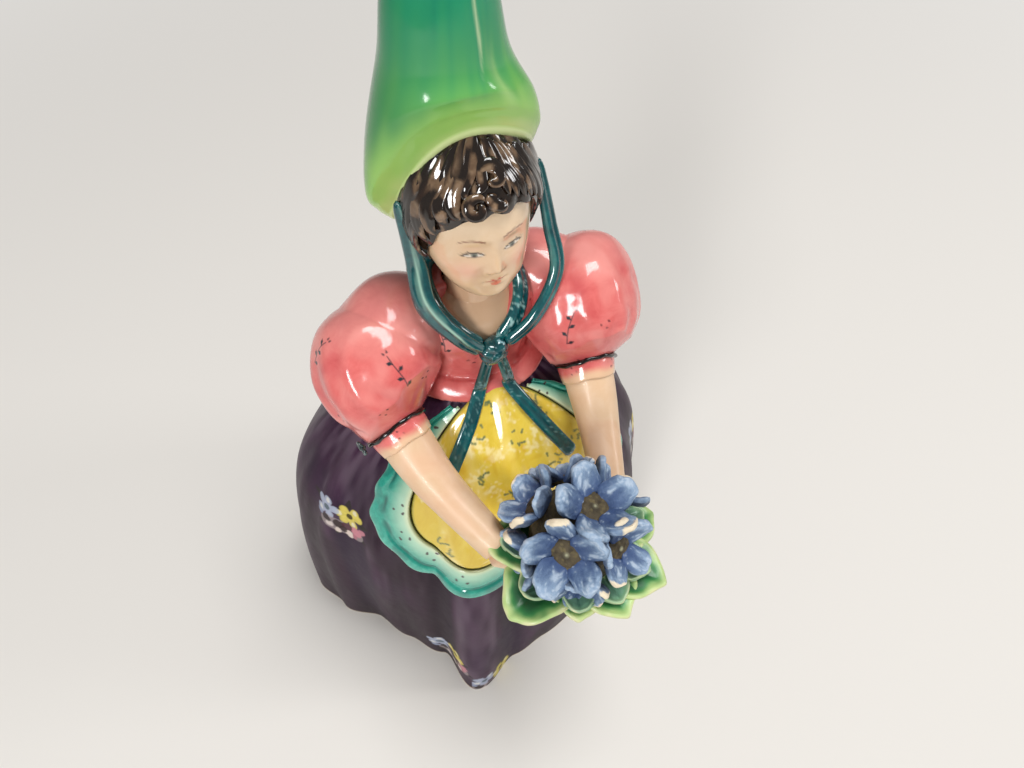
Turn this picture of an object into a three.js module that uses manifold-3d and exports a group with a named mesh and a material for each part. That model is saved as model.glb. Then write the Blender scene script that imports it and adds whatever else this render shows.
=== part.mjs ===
// A glazed ceramic figurine: a lady in a tall pointed hat holds out a posy of flowers.
// It is built as a potter builds it, from hollow and solid castings and from ribbons, leaves and
// flowers modelled by hand, each a piece of its own that meets its neighbours at a slip joint.
// Millimetres, +Z up. She faces -Y, so her right hand is on the -X side.
import * as THREE from "three";
import { mergeVertices } from "three/addons/utils/BufferGeometryUtils.js";
import Module from "manifold-3d";

const wasm = await Module();
wasm.setup();

// Clay
const slipJoint = 0.3;
const castWall = 3.2;
const shortestEdge = 0.08;

// Skirt
const waistHeight = 114;
const waistHalfWidth = 13.5;
const waistHalfDepth = 11.5;
const skirtHalfWidth = 58;
const skirtFront = 46;
const skirtBack = 50;
const gatherDepth = 0.5;
const gatherCount = 18;
const bodyOffset = 3.5; // the body stands this far to her left of the hem's middle
const ventRadius = 5;
const skirtSides = 60;
const skirtRows = 10;
const liningRows = 6;

// Apron, as degrees round the skirt from her front and shares of the way down it
const apronHalfAngle = 46;
const apronMiddle = 0.36;
const apronReachUp = 0.32;
const apronReachDown = 0.232;
const apronThickness = 1.3;
const apronSunk = 1.5; // the apron's clay is cut to the skirt from this deep
const frillShare = 1.32;
const frillThickness = 1.5;
const frillTurn = 140; // degrees that the frill runs each way from the apron's lowest point
const frillWaves = 22;
const frillWaveHeight = 0.4;
const grooveShare = 0.03;

// Bodice and neck, as heights above the waist
const shoulderRise = 24;
const bustRise = 13;
const shoulderHalfWidth = 17;
const bustHalfWidth = 16.5;
const bustHalfDepth = 11.8;
const bodiceSides = 20;
const necklineFoot = 11;
const necklineHalfWidth = 9;
const necklineBack = -3;
const chestInset = 0.4;
const boreBack = 3;
const neckRadius = 5.4;
const neckFlare = 2.2;

// Head, hair and hat
const headRise = 43.8;
const headLean = 0.9; // to her left
const headForward = 1.4;
const headHalfWidth = 11.8;
const headHalfDepth = 12.2;
const headHalfHeight = 15.2;
const headSides = 16;
const headTurn = 2; // degrees towards her left
const hairThickness = 2.2;
const curlRadius = 2.8;
const curlCount = 6;
const curlSpread = 66; // degrees each way from her front
const hatHeight = 79.5; // from the middle of the head to the tip
const hatHalfWidth = 17.3;
const hatShift = -1.6;
const hatTilt = 57; // degrees between the brim and the level
const hatDroop = 6; // how much lower the brim hangs on her right
const hatWall = 2.8;
const hatHollow = 0.27; // share of the hat's height that is hollow
const hatSides = 24;

// Sleeves and arms
const sleeveReach = 25.2; // from the body's middle to the middle of a sleeve
const sleeveHalfWidth = 14.2;
const sleeveHalfHeight = 15.5;
const sleeveForward = 6.5;
const sleeveRise = 10;
const leftSleeveLift = 1.4;
const sleeveFlutes = 8;
const fluteDepth = 0.5;
const puffRadius = 9.5;
const puffInward = 9;
const puffBack = 9.5;
const puffRise = 7;
const armRadius = 6.3;
const armDrop = 0.45; // how steeply an arm leaves its sleeve, as a share of its way ahead
const rightArmOutward = 0.24; // how far outward her right arm leaves its sleeve, in the same share
const wristRadius = 4.4;
const armSides = 14;
const cuffLength = 3.8;
const cuffThickness = 0.9;
const bandRadius = 0.6;
const bowRadius = 1.5;
const rightWrist = [-16.5, 5]; // across and back from the posy's middle
const leftWrist = [13.5, 10];
const wristDrop = 5.5;
const palmLength = 12;
const palmHalfThickness = 2.4;
const fingerRadius = 1.35;
const fingerLength = 10;

// Ribbons
const ribbonWidth = 3.4;
const ribbonThickness = 1.9;
const rightRibbonReach = [15, 13.4]; // from the head's middle, at the hat and at the chin
const leftRibbonReach = [14.8, 16.2];
const ribbonTop = 7.5; // above the head's middle
const knotRadius = 3.5;
const tailWidth = 3;
const tailThickness = 1.1;
const tailAngle = 31;
const collarRadius = 2.3;
const collarSpread = 1.2; // how far the scarf lies outside the edge of the neckline

// Posy
const posyForward = 52.5;
const posyAcross = 5; // to her left of the body's middle
const posyDrop = 10; // below the waist
const posyRadius = 11;
const flowerRadius = 9.4;
const petalHalfLength = 4.2;
const petalHalfWidth = 3.3;
const petalHalfThickness = 1;
const petalCup = 38;
const leafHalfLength = 8.6;
const leafHalfWidth = 6.2;
const leafHalfThickness = 0.8;
const leafTaper = 0.3;
const leafCup = 1.2;
const leafDroop = 8; // degrees
const leafDrop = 5;
const leafRing = 21;

const glaze = {
  purple: [0x54405c, 0.3],
  pink: [0xdd6f72, 0.18],
  yellow: [0xe6cd5a, 0.18],
  teal: [0x1d9483, 0.2],
  darkTeal: [0x0d5a5c, 0.16],
  skin: [0xe8cdb0, 0.25],
  hair: [0x33261f, 0.15],
  green: [0x2f9a55, 0.12],
  leaf: [0x4f9a4e, 0.4],
  blue: [0x5d78b8, 0.6],
  moss: [0x4c4838, 0.7],
};

const vec = (x, y, z) => new THREE.Vector3(x, y, z);
const rad = THREE.MathUtils.degToRad;
const mix = THREE.MathUtils.lerp;
const TURN = 2 * Math.PI;
const WHOLE = 360; // degrees in a turn

// Solids

function solidOf(geometry) {
  const bare = geometry.index ? geometry : geometry.clone();
  bare.deleteAttribute("normal");
  bare.deleteAttribute("uv");
  const merged = mergeVertices(bare, 1e-4);
  return new wasm.Manifold(
    new wasm.Mesh({
      numProp: 3,
      vertProperties: new Float32Array(merged.attributes.position.array),
      triVerts: new Uint32Array(merged.index.array),
    }),
  );
}

// The main body that a cut leaves, without its shortest edges.
function largest(solid) {
  const bodies = solid.simplify(shortestEdge).decompose();
  return bodies.reduce((a, b) => (b.volume() > a.volume() ? b : a));
}

function cut(solid, ...tools) {
  return largest(tools.reduce((left, tool) => left.subtract(tool), solid));
}

function join(solids) {
  return solids.reduce((sum, next) => sum.add(next));
}

// A closed body through rings of points that all have the same count. A ring of one point is a pole.
// With closedLoop the last ring joins the first one, as on a picture frame.
function loft(rings, closedLoop = false) {
  const points = rings.flat();
  const starts = rings.map((_, i) => rings.slice(0, i).reduce((n, r) => n + r.length, 0));
  const faces = [];
  const last = closedLoop ? rings.length : rings.length - 1;
  for (let i = 0; i < last; i++) {
    const j = (i + 1) % rings.length;
    const count = Math.max(rings[i].length, rings[j].length);
    for (let k = 0; k < count; k++) {
      const next = (k + 1) % count;
      const a = starts[i] + (rings[i].length === 1 ? 0 : k);
      const b = starts[i] + (rings[i].length === 1 ? 0 : next);
      const c = starts[j] + (rings[j].length === 1 ? 0 : next);
      const d = starts[j] + (rings[j].length === 1 ? 0 : k);
      if (a !== b) faces.push(a, b, c);
      if (c !== d) faces.push(a, c, d);
    }
  }
  const geometry = new THREE.BufferGeometry().setFromPoints(points);
  geometry.setIndex(faces);
  const made = solidOf(geometry);
  if (made.volume() > 0) return made;
  for (let i = 0; i < faces.length; i += 3) {
    [faces[i + 1], faces[i + 2]] = [faces[i + 2], faces[i + 1]];
  }
  geometry.setIndex(faces);
  return solidOf(geometry);
}

function middleOf(points) {
  return points.reduce((sum, point) => sum.add(point), vec(0, 0, 0)).divideScalar(points.length);
}

function ellipsoid(centre, radii, turn = new THREE.Quaternion(), sides = 12, rows = 8) {
  const ball = new THREE.SphereGeometry(1, sides, rows);
  ball.applyMatrix4(new THREE.Matrix4().compose(centre, turn, radii));
  return solidOf(ball);
}

// A round limb along a curve, with its radius given at each share of the way.
function limb(curve, radiusAt, steps = 8, sides = 12) {
  const rings = [];
  for (let i = 0; i <= steps; i++) {
    const share = i / steps;
    const centre = curve.getPoint(share);
    const ahead = curve.getTangent(share);
    const turn = new THREE.Quaternion().setFromUnitVectors(vec(0, 0, 1), ahead);
    const ring = [];
    for (let k = 0; k < sides; k++) {
      const angle = (TURN * k) / sides;
      const spoke = vec(Math.cos(angle), Math.sin(angle), 0).applyQuaternion(turn);
      ring.push(spoke.multiplyScalar(radiusAt(share)).add(centre));
    }
    rings.push(ring);
  }
  return loft([[curve.getPoint(0)], ...rings, [curve.getPoint(1)]]);
}

// Skirt

// The way down the skirt, as shares of its spread and of its height.
const skirtProfile = new THREE.SplineCurve(
  [
    [0, 1],
    [0.14, 0.955],
    [0.33, 0.89],
    [0.53, 0.815],
    [0.7, 0.72],
    [0.84, 0.6],
    [0.93, 0.43],
    [0.98, 0.22],
    [1, 0],
  ].map(([spread, height]) => new THREE.Vector2(spread, height)),
);

// Folds of the hem: the angle from her front towards her right, and how far out or in the hem goes.
const hemFolds = [
  [-12, -4],
  [4, -2],
  [20, 6],
  [36, -7],
  [54, -11],
  [70, -13],
  [84, -6],
  [97, 0],
  [110, 3],
  [128, -4],
  [146, 1],
  [163, -3],
  [182, 3],
  [200, -3],
  [218, 2],
  [235, -3],
  [254, 2],
  [272, -1],
  [290, -5],
  [308, 0],
  [328, -5],
];

function hemFold(degrees) {
  const at = ((degrees % WHOLE) + WHOLE) % WHOLE;
  const turns = hemFolds.map(([angle, depth]) => [(angle + WHOLE) % WHOLE, depth]);
  turns.sort((a, b) => a[0] - b[0]);
  const count = turns.length;
  let i = turns.findIndex(([angle]) => angle > at);
  if (i < 0) i = 0;
  const [low, high] = [turns[(i + count - 1) % count], turns[i]];
  const span = (high[0] - low[0] + WHOLE) % WHOLE;
  const share = ((at - low[0] + WHOLE) % WHOLE) / span;
  return mix(low[1], high[1], (1 - Math.cos(Math.PI * share)) / 2);
}

function ovalRadius(angle, halfWidth, halfDepth) {
  return 1 / Math.hypot(Math.sin(angle) / halfWidth, Math.cos(angle) / halfDepth);
}

function skirtRadius(angle, share, gathered = true) {
  const { x: spread } = skirtProfile.getPoint(share);
  const depth = Math.cos(angle) > 0 ? skirtFront : skirtBack;
  const waist = ovalRadius(angle, waistHalfWidth, waistHalfDepth);
  const full = ovalRadius(angle, skirtHalfWidth, depth);
  const fold = hemFold(THREE.MathUtils.radToDeg(angle)) * Math.pow(share, 1.7);
  const smooth = mix(waist, full, spread) + fold;
  if (!gathered) return smooth;
  return smooth + gatherDepth * Math.cos(gatherCount * angle) * Math.sin(Math.PI * Math.min(1, share * 1.6));
}

function skirtPoint(angle, share, inset = 0, drop = 0, gathered = true) {
  const radius = skirtRadius(angle, share, gathered) - inset;
  const height = skirtProfile.getPoint(share).y * waistHeight - drop;
  const across = bodyOffset * (1 - share);
  return vec(across - radius * Math.sin(angle), -radius * Math.cos(angle), height);
}

// A point that lies the given lift above the crests of the skirt's gathers.
function overSkirt(angle, share, lift) {
  const step = 0.02;
  const at = (turn, down) => skirtPoint(turn, Math.max(0, down), 0, 0, false);
  const round = at(angle + step, share).sub(at(angle - step, share));
  const down = at(angle, share + step).sub(at(angle, share - step));
  return at(angle, share).addScaledVector(round.cross(down).normalize(), lift + gatherDepth);
}

function skirtRing(share, inset, drop) {
  return Array.from({ length: skirtSides }, (_, k) => {
    const angle = (TURN * k) / skirtSides;
    return skirtPoint(angle, share, inset, drop);
  });
}

function ventRing(height) {
  return Array.from({ length: skirtSides }, (_, k) => {
    const angle = (TURN * k) / skirtSides;
    return vec(bodyOffset - ventRadius * Math.sin(angle), -ventRadius * Math.cos(angle), height);
  });
}

function skirt() {
  const outer = Array.from({ length: skirtRows + 1 }, (_, i) => skirtRing(i / skirtRows, 0, 0));
  const inner = [];
  for (let i = liningRows; i >= 1; i--) {
    const share = i / liningRows;
    inner.push(skirtRing(share, castWall, castWall * (1 - share)));
  }
  return loft([ventRing(waistHeight), ...outer, ...inner, ventRing(waistHeight - castWall * 1.4)], true);
}

// The space that the skirt takes up, swollen by the gap that the apron's clay keeps from it.
function skirtSpace(grow) {
  const rings = Array.from({ length: skirtRows + 1 }, (_, i) => skirtRing(i / skirtRows, -grow, -grow));
  const [top, foot] = [rings[0], rings[skirtRows]].map((ring) => vec(bodyOffset, 0, ring[0].z));
  return loft([[top], ...rings, [foot]]);
}

// Apron

// A point of the apron: degrees round its own middle from its lowest point, and share of the way out.
function apronPoint(turn, share, lift) {
  const angle = rad(apronHalfAngle) * share * Math.sin(rad(turn));
  const down = Math.cos(rad(turn));
  const reach = down > 0 ? apronReachDown * share : apronReachUp * Math.min(share, 1);
  return overSkirt(angle, apronMiddle + reach * down, lift);
}

// The apron's clay out to a rim, up to a height over the skirt, and down into the skirt.
function apronDome(rim, high) {
  const around = 32;
  const ring = (share, lift) =>
    Array.from({ length: around }, (_, k) => apronPoint((WHOLE * k) / around, share * rim, lift));
  return loft([
    [apronPoint(0, 0, high)],
    ...[0.33, 0.64, 0.93].map((share) => ring(share, high)),
    ring(1, mix(-apronSunk, high, 0.6)),
    ring(1, -apronSunk),
    [apronPoint(0, 0, -apronSunk)],
  ]);
}

// The gathered frill, a strip that runs from the waist down round the panel and up to the waist again.
function apronFrill() {
  const steps = frillWaves * 3;
  const rings = [];
  for (let i = 0; i <= steps; i++) {
    const turn = mix(-frillTurn, frillTurn, i / steps);
    const wave = Math.cos((TURN * frillWaves * i) / steps);
    const edge = frillShare * (1 + 0.02 * wave);
    const high = slipJoint + frillThickness;
    rings.push([
      apronPoint(turn, 1 + grooveShare, -apronSunk),
      apronPoint(turn, 1 + grooveShare, high),
      apronPoint(turn, edge, high + frillWaveHeight * wave),
      apronPoint(turn, edge, -apronSunk),
    ]);
  }
  return loft([[middleOf(rings[0])], ...rings, [middleOf(rings[steps])]]);
}

// Bodice

const body = vec(bodyOffset, 0, waistHeight);
const shoulders = vec(bodyOffset, 0, waistHeight + shoulderRise);

function bodice(grow) {
  const rows = [
    [slipJoint, waistHalfWidth, waistHalfDepth, 0],
    [bustRise * 0.45, waistHalfWidth + 0.4, waistHalfDepth, 0.3],
    [bustRise, bustHalfWidth, bustHalfDepth, 0.8],
    [mix(bustRise, shoulderRise, 0.55), shoulderHalfWidth, bustHalfDepth - 1, 0.2],
    [shoulderRise - 1.5, shoulderHalfWidth - 1.5, bustHalfDepth - 2.5, -0.5],
    [shoulderRise + 1.5, shoulderHalfWidth - 7, bustHalfDepth - 3.8, -1],
  ];
  const rings = rows.map(([rise, wide, deep, forward], i) => {
    const lift = i === 0 ? -grow : i === rows.length - 1 ? grow : 0;
    return Array.from({ length: bodiceSides }, (_, k) => {
      const angle = (TURN * k) / bodiceSides;
      const across = (wide + grow) * Math.sin(angle);
      const back = -(deep + grow) * Math.cos(angle) - forward;
      return vec(across, back, rise + lift).add(body);
    });
  });
  const bottom = vec(0, 0, slipJoint - grow).add(body);
  const top = vec(0, 1, 2 + grow).add(shoulders);
  return loft([[bottom], ...rings, [top]]);
}

// The V of the neckline, a wedge through the front of the bodice.
function neckline(grow) {
  const foot = necklineFoot - grow * 2;
  const outline = new THREE.Shape([
    new THREE.Vector2(0, foot),
    new THREE.Vector2(necklineHalfWidth + grow, shoulderRise),
    new THREE.Vector2(necklineHalfWidth + grow, shoulderRise + 8),
    new THREE.Vector2(-necklineHalfWidth - grow, shoulderRise + 8),
    new THREE.Vector2(-necklineHalfWidth - grow, shoulderRise),
  ]);
  const wedge = new THREE.ExtrudeGeometry(outline, { depth: bustHalfDepth * 2, bevelEnabled: false });
  wedge.rotateX(Math.PI / 2);
  wedge.translate(body.x, necklineBack + grow, body.z);
  return solidOf(wedge);
}

function coreBore() {
  const length = bustRise + 2;
  const bore = new THREE.CylinderGeometry(ventRadius, ventRadius, length, 12);
  bore.rotateX(Math.PI / 2);
  bore.translate(body.x, boreBack, body.z + length / 2 - 1);
  return solidOf(bore);
}

// Head, neck and hair

const head = vec(bodyOffset + headLean, -headForward, waistHeight + headRise);

// Head outline from the chin up: height, half width, half depth and forward shift as shares.
const headOutline = [
  [-0.95, 0.3, 0.24, 0.69],
  [-0.8, 0.58, 0.46, 0.51],
  [-0.5, 0.84, 0.74, 0.26],
  [-0.1, 0.99, 0.97, 0.05],
  [0.3, 0.99, 0.99, 0],
  [0.65, 0.83, 0.84, -0.025],
  [0.9, 0.48, 0.5, -0.04],
];

function turnHead(solid) {
  const turn = new THREE.Matrix4().makeTranslation(head);
  turn.multiply(new THREE.Matrix4().makeRotationZ(rad(headTurn)));
  turn.multiply(new THREE.Matrix4().makeTranslation(head.clone().negate()));
  return solid.transform(turn.toArray());
}

function headSolid(grow) {
  const rings = headOutline.map(([rise, wide, deep, forward]) =>
    Array.from({ length: headSides }, (_, k) => {
      const angle = (TURN * k) / headSides;
      const across = (headHalfWidth * wide + grow) * Math.sin(angle);
      const back = -(headHalfDepth * deep + grow) * Math.cos(angle) - headHalfDepth * forward;
      return vec(across, back, (headHalfHeight + grow) * rise).add(head);
    }),
  );
  const chin = vec(0, -headHalfDepth * headOutline[0][3], -headHalfHeight - grow).add(head);
  const crown = vec(0, 0.5, headHalfHeight + grow).add(head);
  return turnHead(loft([[chin], ...rings, [crown]]));
}

function neckSolid(grow) {
  const foot = vec(0, -1, -6).add(shoulders);
  const line = new THREE.LineCurve3(foot, vec(0, 2, -headHalfHeight * 0.35).add(head));
  return limb(line, (share) => neckRadius + grow + neckFlare * Math.pow(1 - share, 3), 5, 14);
}

function nose() {
  const tip = vec(0, -headHalfDepth - 0.9, -headHalfHeight * 0.24).add(head);
  const lean = new THREE.Quaternion().setFromAxisAngle(vec(1, 0, 0), rad(-16));
  return turnHead(ellipsoid(tip, vec(1.4, 1.6, 3), lean, 6, 4));
}

function headAndNeck() {
  const chest = bodice(-chestInset).intersect(neckline(0));
  return join([headSolid(0), neckSolid(0), nose(), chest]);
}

// The space round the head, neck and chest, for cutting what is seated on them.
function headSpace(grow) {
  return join([headSolid(grow), neckSolid(grow), neckline(grow).intersect(bodice(grow))]);
}

function hairSolid(grow) {
  const thick = hairThickness + grow;
  const cap = ellipsoid(
    vec(0, 0.6, 1.6).add(head),
    vec(headHalfWidth + thick, headHalfDepth + thick, headHalfHeight - 1 + thick),
    undefined,
    18,
    10,
  );
  const face = ellipsoid(
    vec(0.6, -headHalfDepth - 1, -headHalfHeight * 0.42).add(head),
    vec(headHalfWidth * 1.45 - grow, headHalfDepth + 0.5 - grow, headHalfHeight - grow),
    undefined,
    14,
    8,
  );
  const reach = headHalfHeight * 4;
  const below = new THREE.BoxGeometry(reach, reach, reach);
  below.translate(head.x, head.y, head.z - headHalfHeight * 0.66 - reach / 2 - grow);
  const curls = [];
  for (let i = 0; i < curlCount; i++) {
    const angle = rad(mix(-curlSpread, curlSpread, i / (curlCount - 1)));
    const at = vec(
      (headHalfWidth + 0.6) * Math.sin(angle),
      -(headHalfDepth - 0.6) * Math.cos(angle),
      headHalfHeight * mix(0.24, 0.66, Math.cos(angle)),
    );
    curls.push(ellipsoid(at.add(head), vec(1, 1, 1.1).multiplyScalar(curlRadius + grow), undefined, 8, 6));
  }
  return turnHead(join([cap.subtract(face).subtract(solidOf(below)), ...curls]));
}

// Hat

// Rings from the brim to the tip: height of the ring's middle as a share of the hat's height, half
// width as a share, half depth in front as a share of the half width, tilt as a share of the brim's
// tilt, and shifts back and to her left as shares of the hat's half width.
const hatOutline = [
  [0.085, 0.87, 1, 1, 0.197, 0.046],
  [0.115, 0.955, 0.94, 0.97, 0.191, 0.014],
  [0.16, 1.02, 0.853, 0.9, 0.173, -0.023],
  [0.26, 0.93, 0.793, 0.63, 0.173, -0.03],
  [0.4, 0.67, 0.91, 0.1, 0.185, -0.046],
  [0.55, 0.535, 1, 0, 0.197, -0.04],
  [0.78, 0.29, 1, 0, 0.202, -0.017],
  [0.94, 0.12, 1, 0, 0.208, 0],
];

function hatRing([rise, wide, front, tilt, back, across], inset) {
  const turn = new THREE.Quaternion().setFromAxisAngle(vec(1, 0, 0), rad(-hatTilt * tilt));
  const radius = hatHalfWidth * wide - inset;
  return Array.from({ length: hatSides }, (_, k) => {
    const angle = (TURN * k) / hatSides;
    const [side, ahead] = [Math.sin(angle), Math.cos(angle)];
    const deep = radius * (1 + 0.1 * tilt) * (ahead > 0 ? front : 1);
    const spoke = vec(radius * side, -deep * ahead, 0).applyQuaternion(turn);
    spoke.z -= (hatDroop * tilt * tilt * side * side * (1 - side)) / 2;
    const middle = vec(hatShift + hatHalfWidth * across, hatHalfWidth * back, hatHeight * rise);
    return spoke.add(middle).add(head);
  });
}

const hatTip = vec(hatShift, hatHalfWidth * hatOutline.at(-1)[4], hatHeight).add(head);

function hat() {
  const outer = hatOutline.map((row) => hatRing(row, 0));
  const hollow = hatOutline.filter(([rise]) => rise < hatHollow);
  const inner = hollow.map((row) => hatRing(row, hatWall)).reverse();
  const roof = middleOf(inner[0]).add(vec(0, 0, 2));
  return loft([[roof], ...inner, ...outer, [hatTip]]);
}

// The space that the hat takes up, with its hollow.
function hatSpace(grow) {
  const rings = hatOutline.map((row) => hatRing(row, -grow));
  const foot = rings[0].map((point) => point.clone().add(vec(0, 0, -grow * 2)));
  return loft([[middleOf(foot)], foot, ...rings, [hatTip]]);
}

// Sleeves, arms and hands, with side -1 for her right and 1 for her left

const posy = vec(bodyOffset + posyAcross, -posyForward, waistHeight - posyDrop);

const sides = { right: -1, left: 1 };

function sleeveCentre(side) {
  const lift = side > 0 ? leftSleeveLift : 0;
  return vec(side * sleeveReach, -sleeveForward, sleeveRise + lift).add(body);
}

function wrist(side) {
  const [across, back] = side < 0 ? rightWrist : leftWrist;
  return vec(across, back, -wristDrop).add(posy);
}

function cuffCentre(side) {
  const centre = sleeveCentre(side);
  const ahead = wrist(side).sub(centre).normalize();
  ahead.z -= armDrop;
  ahead.x -= side < 0 ? rightArmOutward : 0;
  return centre.addScaledVector(ahead.normalize(), sleeveHalfHeight - 0.6);
}

function armCurve(side) {
  const start = cuffCentre(side);
  const end = wrist(side);
  const elbow = start.clone().lerp(end, 0.4);
  elbow.add(vec(side * 0.8, 0, -2));
  return new THREE.CatmullRomCurve3([start, elbow, end]);
}

function sleeve(side, grow = 0) {
  const around = sleeveFlutes * 3;
  const high = 8;
  const axis = armCurve(side).getTangent(0).negate();
  axis.z += 0.6;
  const turn = new THREE.Quaternion().setFromUnitVectors(vec(0, 0, 1), axis.normalize());
  const rings = [];
  for (let i = 1; i < high; i++) {
    const tilt = (Math.PI * i) / high;
    const swell = Math.sin(tilt);
    rings.push(
      Array.from({ length: around }, (_, k) => {
        const angle = (TURN * k) / around;
        const flute = fluteDepth * Math.cos(sleeveFlutes * angle) * swell * swell;
        const radius = (sleeveHalfWidth - flute + grow) * Math.pow(swell, 0.85);
        const height = (sleeveHalfHeight + grow) * Math.cos(tilt);
        return vec(radius * Math.cos(angle), radius * Math.sin(angle), height);
      }),
    );
  }
  const [top, foot] = [1, -1].map((end) => vec(0, 0, end * (sleeveHalfHeight + grow)));
  const all = [[top], ...rings, [foot]];
  all.flat().forEach((point) => point.applyQuaternion(turn).add(sleeveCentre(side)));
  const puff = vec(-side * puffInward, puffBack, puffRise).add(sleeveCentre(side));
  return loft(all).add(ellipsoid(puff, vec(1, 1, 1).multiplyScalar(puffRadius + grow), undefined, 12, 7));
}

function arm(side, grow = 0) {
  const radiusAt = (share) => mix(armRadius, wristRadius, Math.pow(share, 1.2)) + grow;
  return limb(armCurve(side), radiusAt, 6, armSides);
}

// A ring round the arm, from its section as distances along the arm and out from the arm's skin.
function armRing(side, section) {
  const curve = armCurve(side);
  const turn = new THREE.Quaternion().setFromUnitVectors(vec(0, 0, 1), curve.getTangent(0));
  const rings = section.map(([along, out]) =>
    Array.from({ length: armSides }, (_, k) => {
      const angle = (TURN * k) / armSides;
      const radius = armRadius + slipJoint * 2 + out;
      return vec(radius * Math.cos(angle), radius * Math.sin(angle), along)
        .applyQuaternion(turn)
        .add(curve.getPoint(0));
    }),
  );
  return loft(rings, true);
}

// The band of cord that gathers the sleeve.
function band(side, grow = 0) {
  const [half, thick] = [bandRadius + grow, bandRadius * 2 + grow];
  return armRing(side, [[-half, -grow * 3], [-half, thick], [half, thick], [half, -grow * 3]]);
}

// The pink frill below the band.
function cuff(side, grow = 0) {
  const start = bandRadius + slipJoint - grow;
  const end = bandRadius + slipJoint + cuffLength + grow;
  return armRing(side, [
    [start, -grow * 3],
    [start, cuffThickness * 0.6 + grow],
    [mix(start, end, 0.6), cuffThickness + grow],
    [end, cuffThickness * 0.8 + grow],
    [end, -grow * 3],
  ]);
}

function sleeveBow(grow = 0) {
  const curve = armCurve(sides.right);
  const ahead = curve.getTangent(0);
  const out = vec(-1, -0.35, -0.1);
  out.addScaledVector(ahead, -out.dot(ahead)).normalize();
  const reach = armRadius + bandRadius * 2 + slipJoint * 3 + bowRadius;
  const centre = curve.getPoint(0).addScaledVector(out, reach);
  const radii = vec(bowRadius, bowRadius * 1.3, bowRadius * 1.15).addScalar(grow);
  return ellipsoid(centre, radii, undefined, 8, 6);
}

// A hand that cups the posy from below.
function hand(side) {
  const start = wrist(side);
  const goal = vec(side * 3, 0, -posyRadius - palmHalfThickness).add(posy);
  const ahead = goal.clone().sub(start).normalize();
  const turn = new THREE.Quaternion().setFromUnitVectors(vec(1, 0, 0), ahead);
  const middle = start.clone().addScaledVector(ahead, palmLength / 2);
  const palmSize = vec(palmLength * 0.6, fingerRadius * 3.8, palmHalfThickness);
  const across = vec(0, 1, 0);
  across.addScaledVector(ahead, -across.dot(ahead)).normalize();
  const digits = [ellipsoid(middle, palmSize, turn, 10, 6)];
  for (let i = 0; i < 4; i++) {
    const root = middle.clone().addScaledVector(across, (i - 1.5) * fingerRadius * 1.95);
    root.addScaledVector(ahead, palmLength * 0.25);
    const tip = root.clone().addScaledVector(ahead, fingerLength - Math.abs(i - 1.6));
    const bend = root.clone().lerp(tip, 0.5);
    bend.z -= 0.8;
    tip.z += 1;
    const curve = new THREE.CatmullRomCurve3([root, bend, tip]);
    digits.push(limb(curve, (share) => fingerRadius * (1 - 0.3 * share), 3, 6));
  }
  return join(digits);
}

// Ribbons

const knotCentre = vec(0.4, -bustHalfDepth - 1.8, bustRise - 0.6).add(body);

// A flat ribbon along a curve.
function strip(curve, width, thickness, steps) {
  const outline = new THREE.Shape();
  outline.absellipse(0, 0, thickness / 2, width / 2, 0, TURN);
  const options = { steps, bevelEnabled: false, extrudePath: curve, curveSegments: 4 };
  return solidOf(new THREE.ExtrudeGeometry(outline, options));
}

function ribbon(side, grow = 0) {
  const [near, far] = side < 0 ? rightRibbonReach : leftRibbonReach;
  const curve = new THREE.CatmullRomCurve3([
    vec(side * near, side > 0 ? 1 : -1, ribbonTop).add(head),
    vec(side * mix(near, far, 0.9), -3.4, -headHalfHeight * 0.4).add(head),
    vec(side * far, -8, -headHalfHeight * 1.05).add(head),
    vec(side * far * 0.6, -12, -headHalfHeight * 1.6).add(head),
    vec(side * (knotRadius - 0.6), 0, 1.2).add(knotCentre),
  ]);
  return strip(curve, ribbonWidth + 2 * grow, ribbonThickness + 2 * grow, 14);
}

function knot(grow = 0) {
  const radii = vec(knotRadius, knotRadius * 0.72, knotRadius).addScalar(grow);
  return ellipsoid(knotCentre, radii, undefined, 10, 7);
}

// A ribbon's tail, from the knot down over the apron.
function tail(side) {
  const lift = slipJoint * 2 + apronThickness + tailThickness / 2;
  const points = [vec(side * 1.4, -0.6, -knotRadius * 0.5).add(knotCentre)];
  points.push(vec(side * 3.4, -waistHalfDepth - 3.4, 2.6).add(body));
  for (const share of [0.12, 0.2, 0.3, 0.38]) {
    const angle = tailAngle * mix(0.86, 1.1, share * 2);
    points.push(overSkirt(-side * rad(angle), share, lift));
  }
  return strip(new THREE.CatmullRomCurve3(points), tailWidth, tailThickness, 12);
}

// The scarf that follows the neckline and passes behind the neck.
function collar(grow = 0) {
  const right = [
    [necklineHalfWidth * 0.27, -bustHalfDepth - 0.9, bustRise + 1],
    [necklineHalfWidth * 0.82, -bustHalfDepth + 1.2, bustRise + 6.6],
    [necklineHalfWidth + collarSpread, -bustHalfDepth * 0.42, shoulderRise - 0.4],
    [necklineHalfWidth, bustHalfDepth * 0.3, shoulderRise + 2.8],
  ];
  const back = vec(0, bustHalfDepth * 0.68, shoulderRise + 3.4).add(body);
  const leftPoints = right.map(([across, deep, rise]) => vec(across, deep, rise).add(body));
  const rightPoints = right.map(([across, deep, rise]) => vec(-across, deep, rise).add(body)).reverse();
  const curve = new THREE.CatmullRomCurve3([...leftPoints, back, ...rightPoints]);
  return limb(curve, () => collarRadius + grow, 14, 7);
}

// Posy

// A direction from the posy's middle: degrees down from its top, and degrees round from its front.
function posyWay(down, round) {
  const out = Math.sin(rad(down));
  return vec(-Math.sin(rad(round)) * out, -Math.cos(rad(round)) * out, Math.cos(rad(down)));
}

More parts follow.
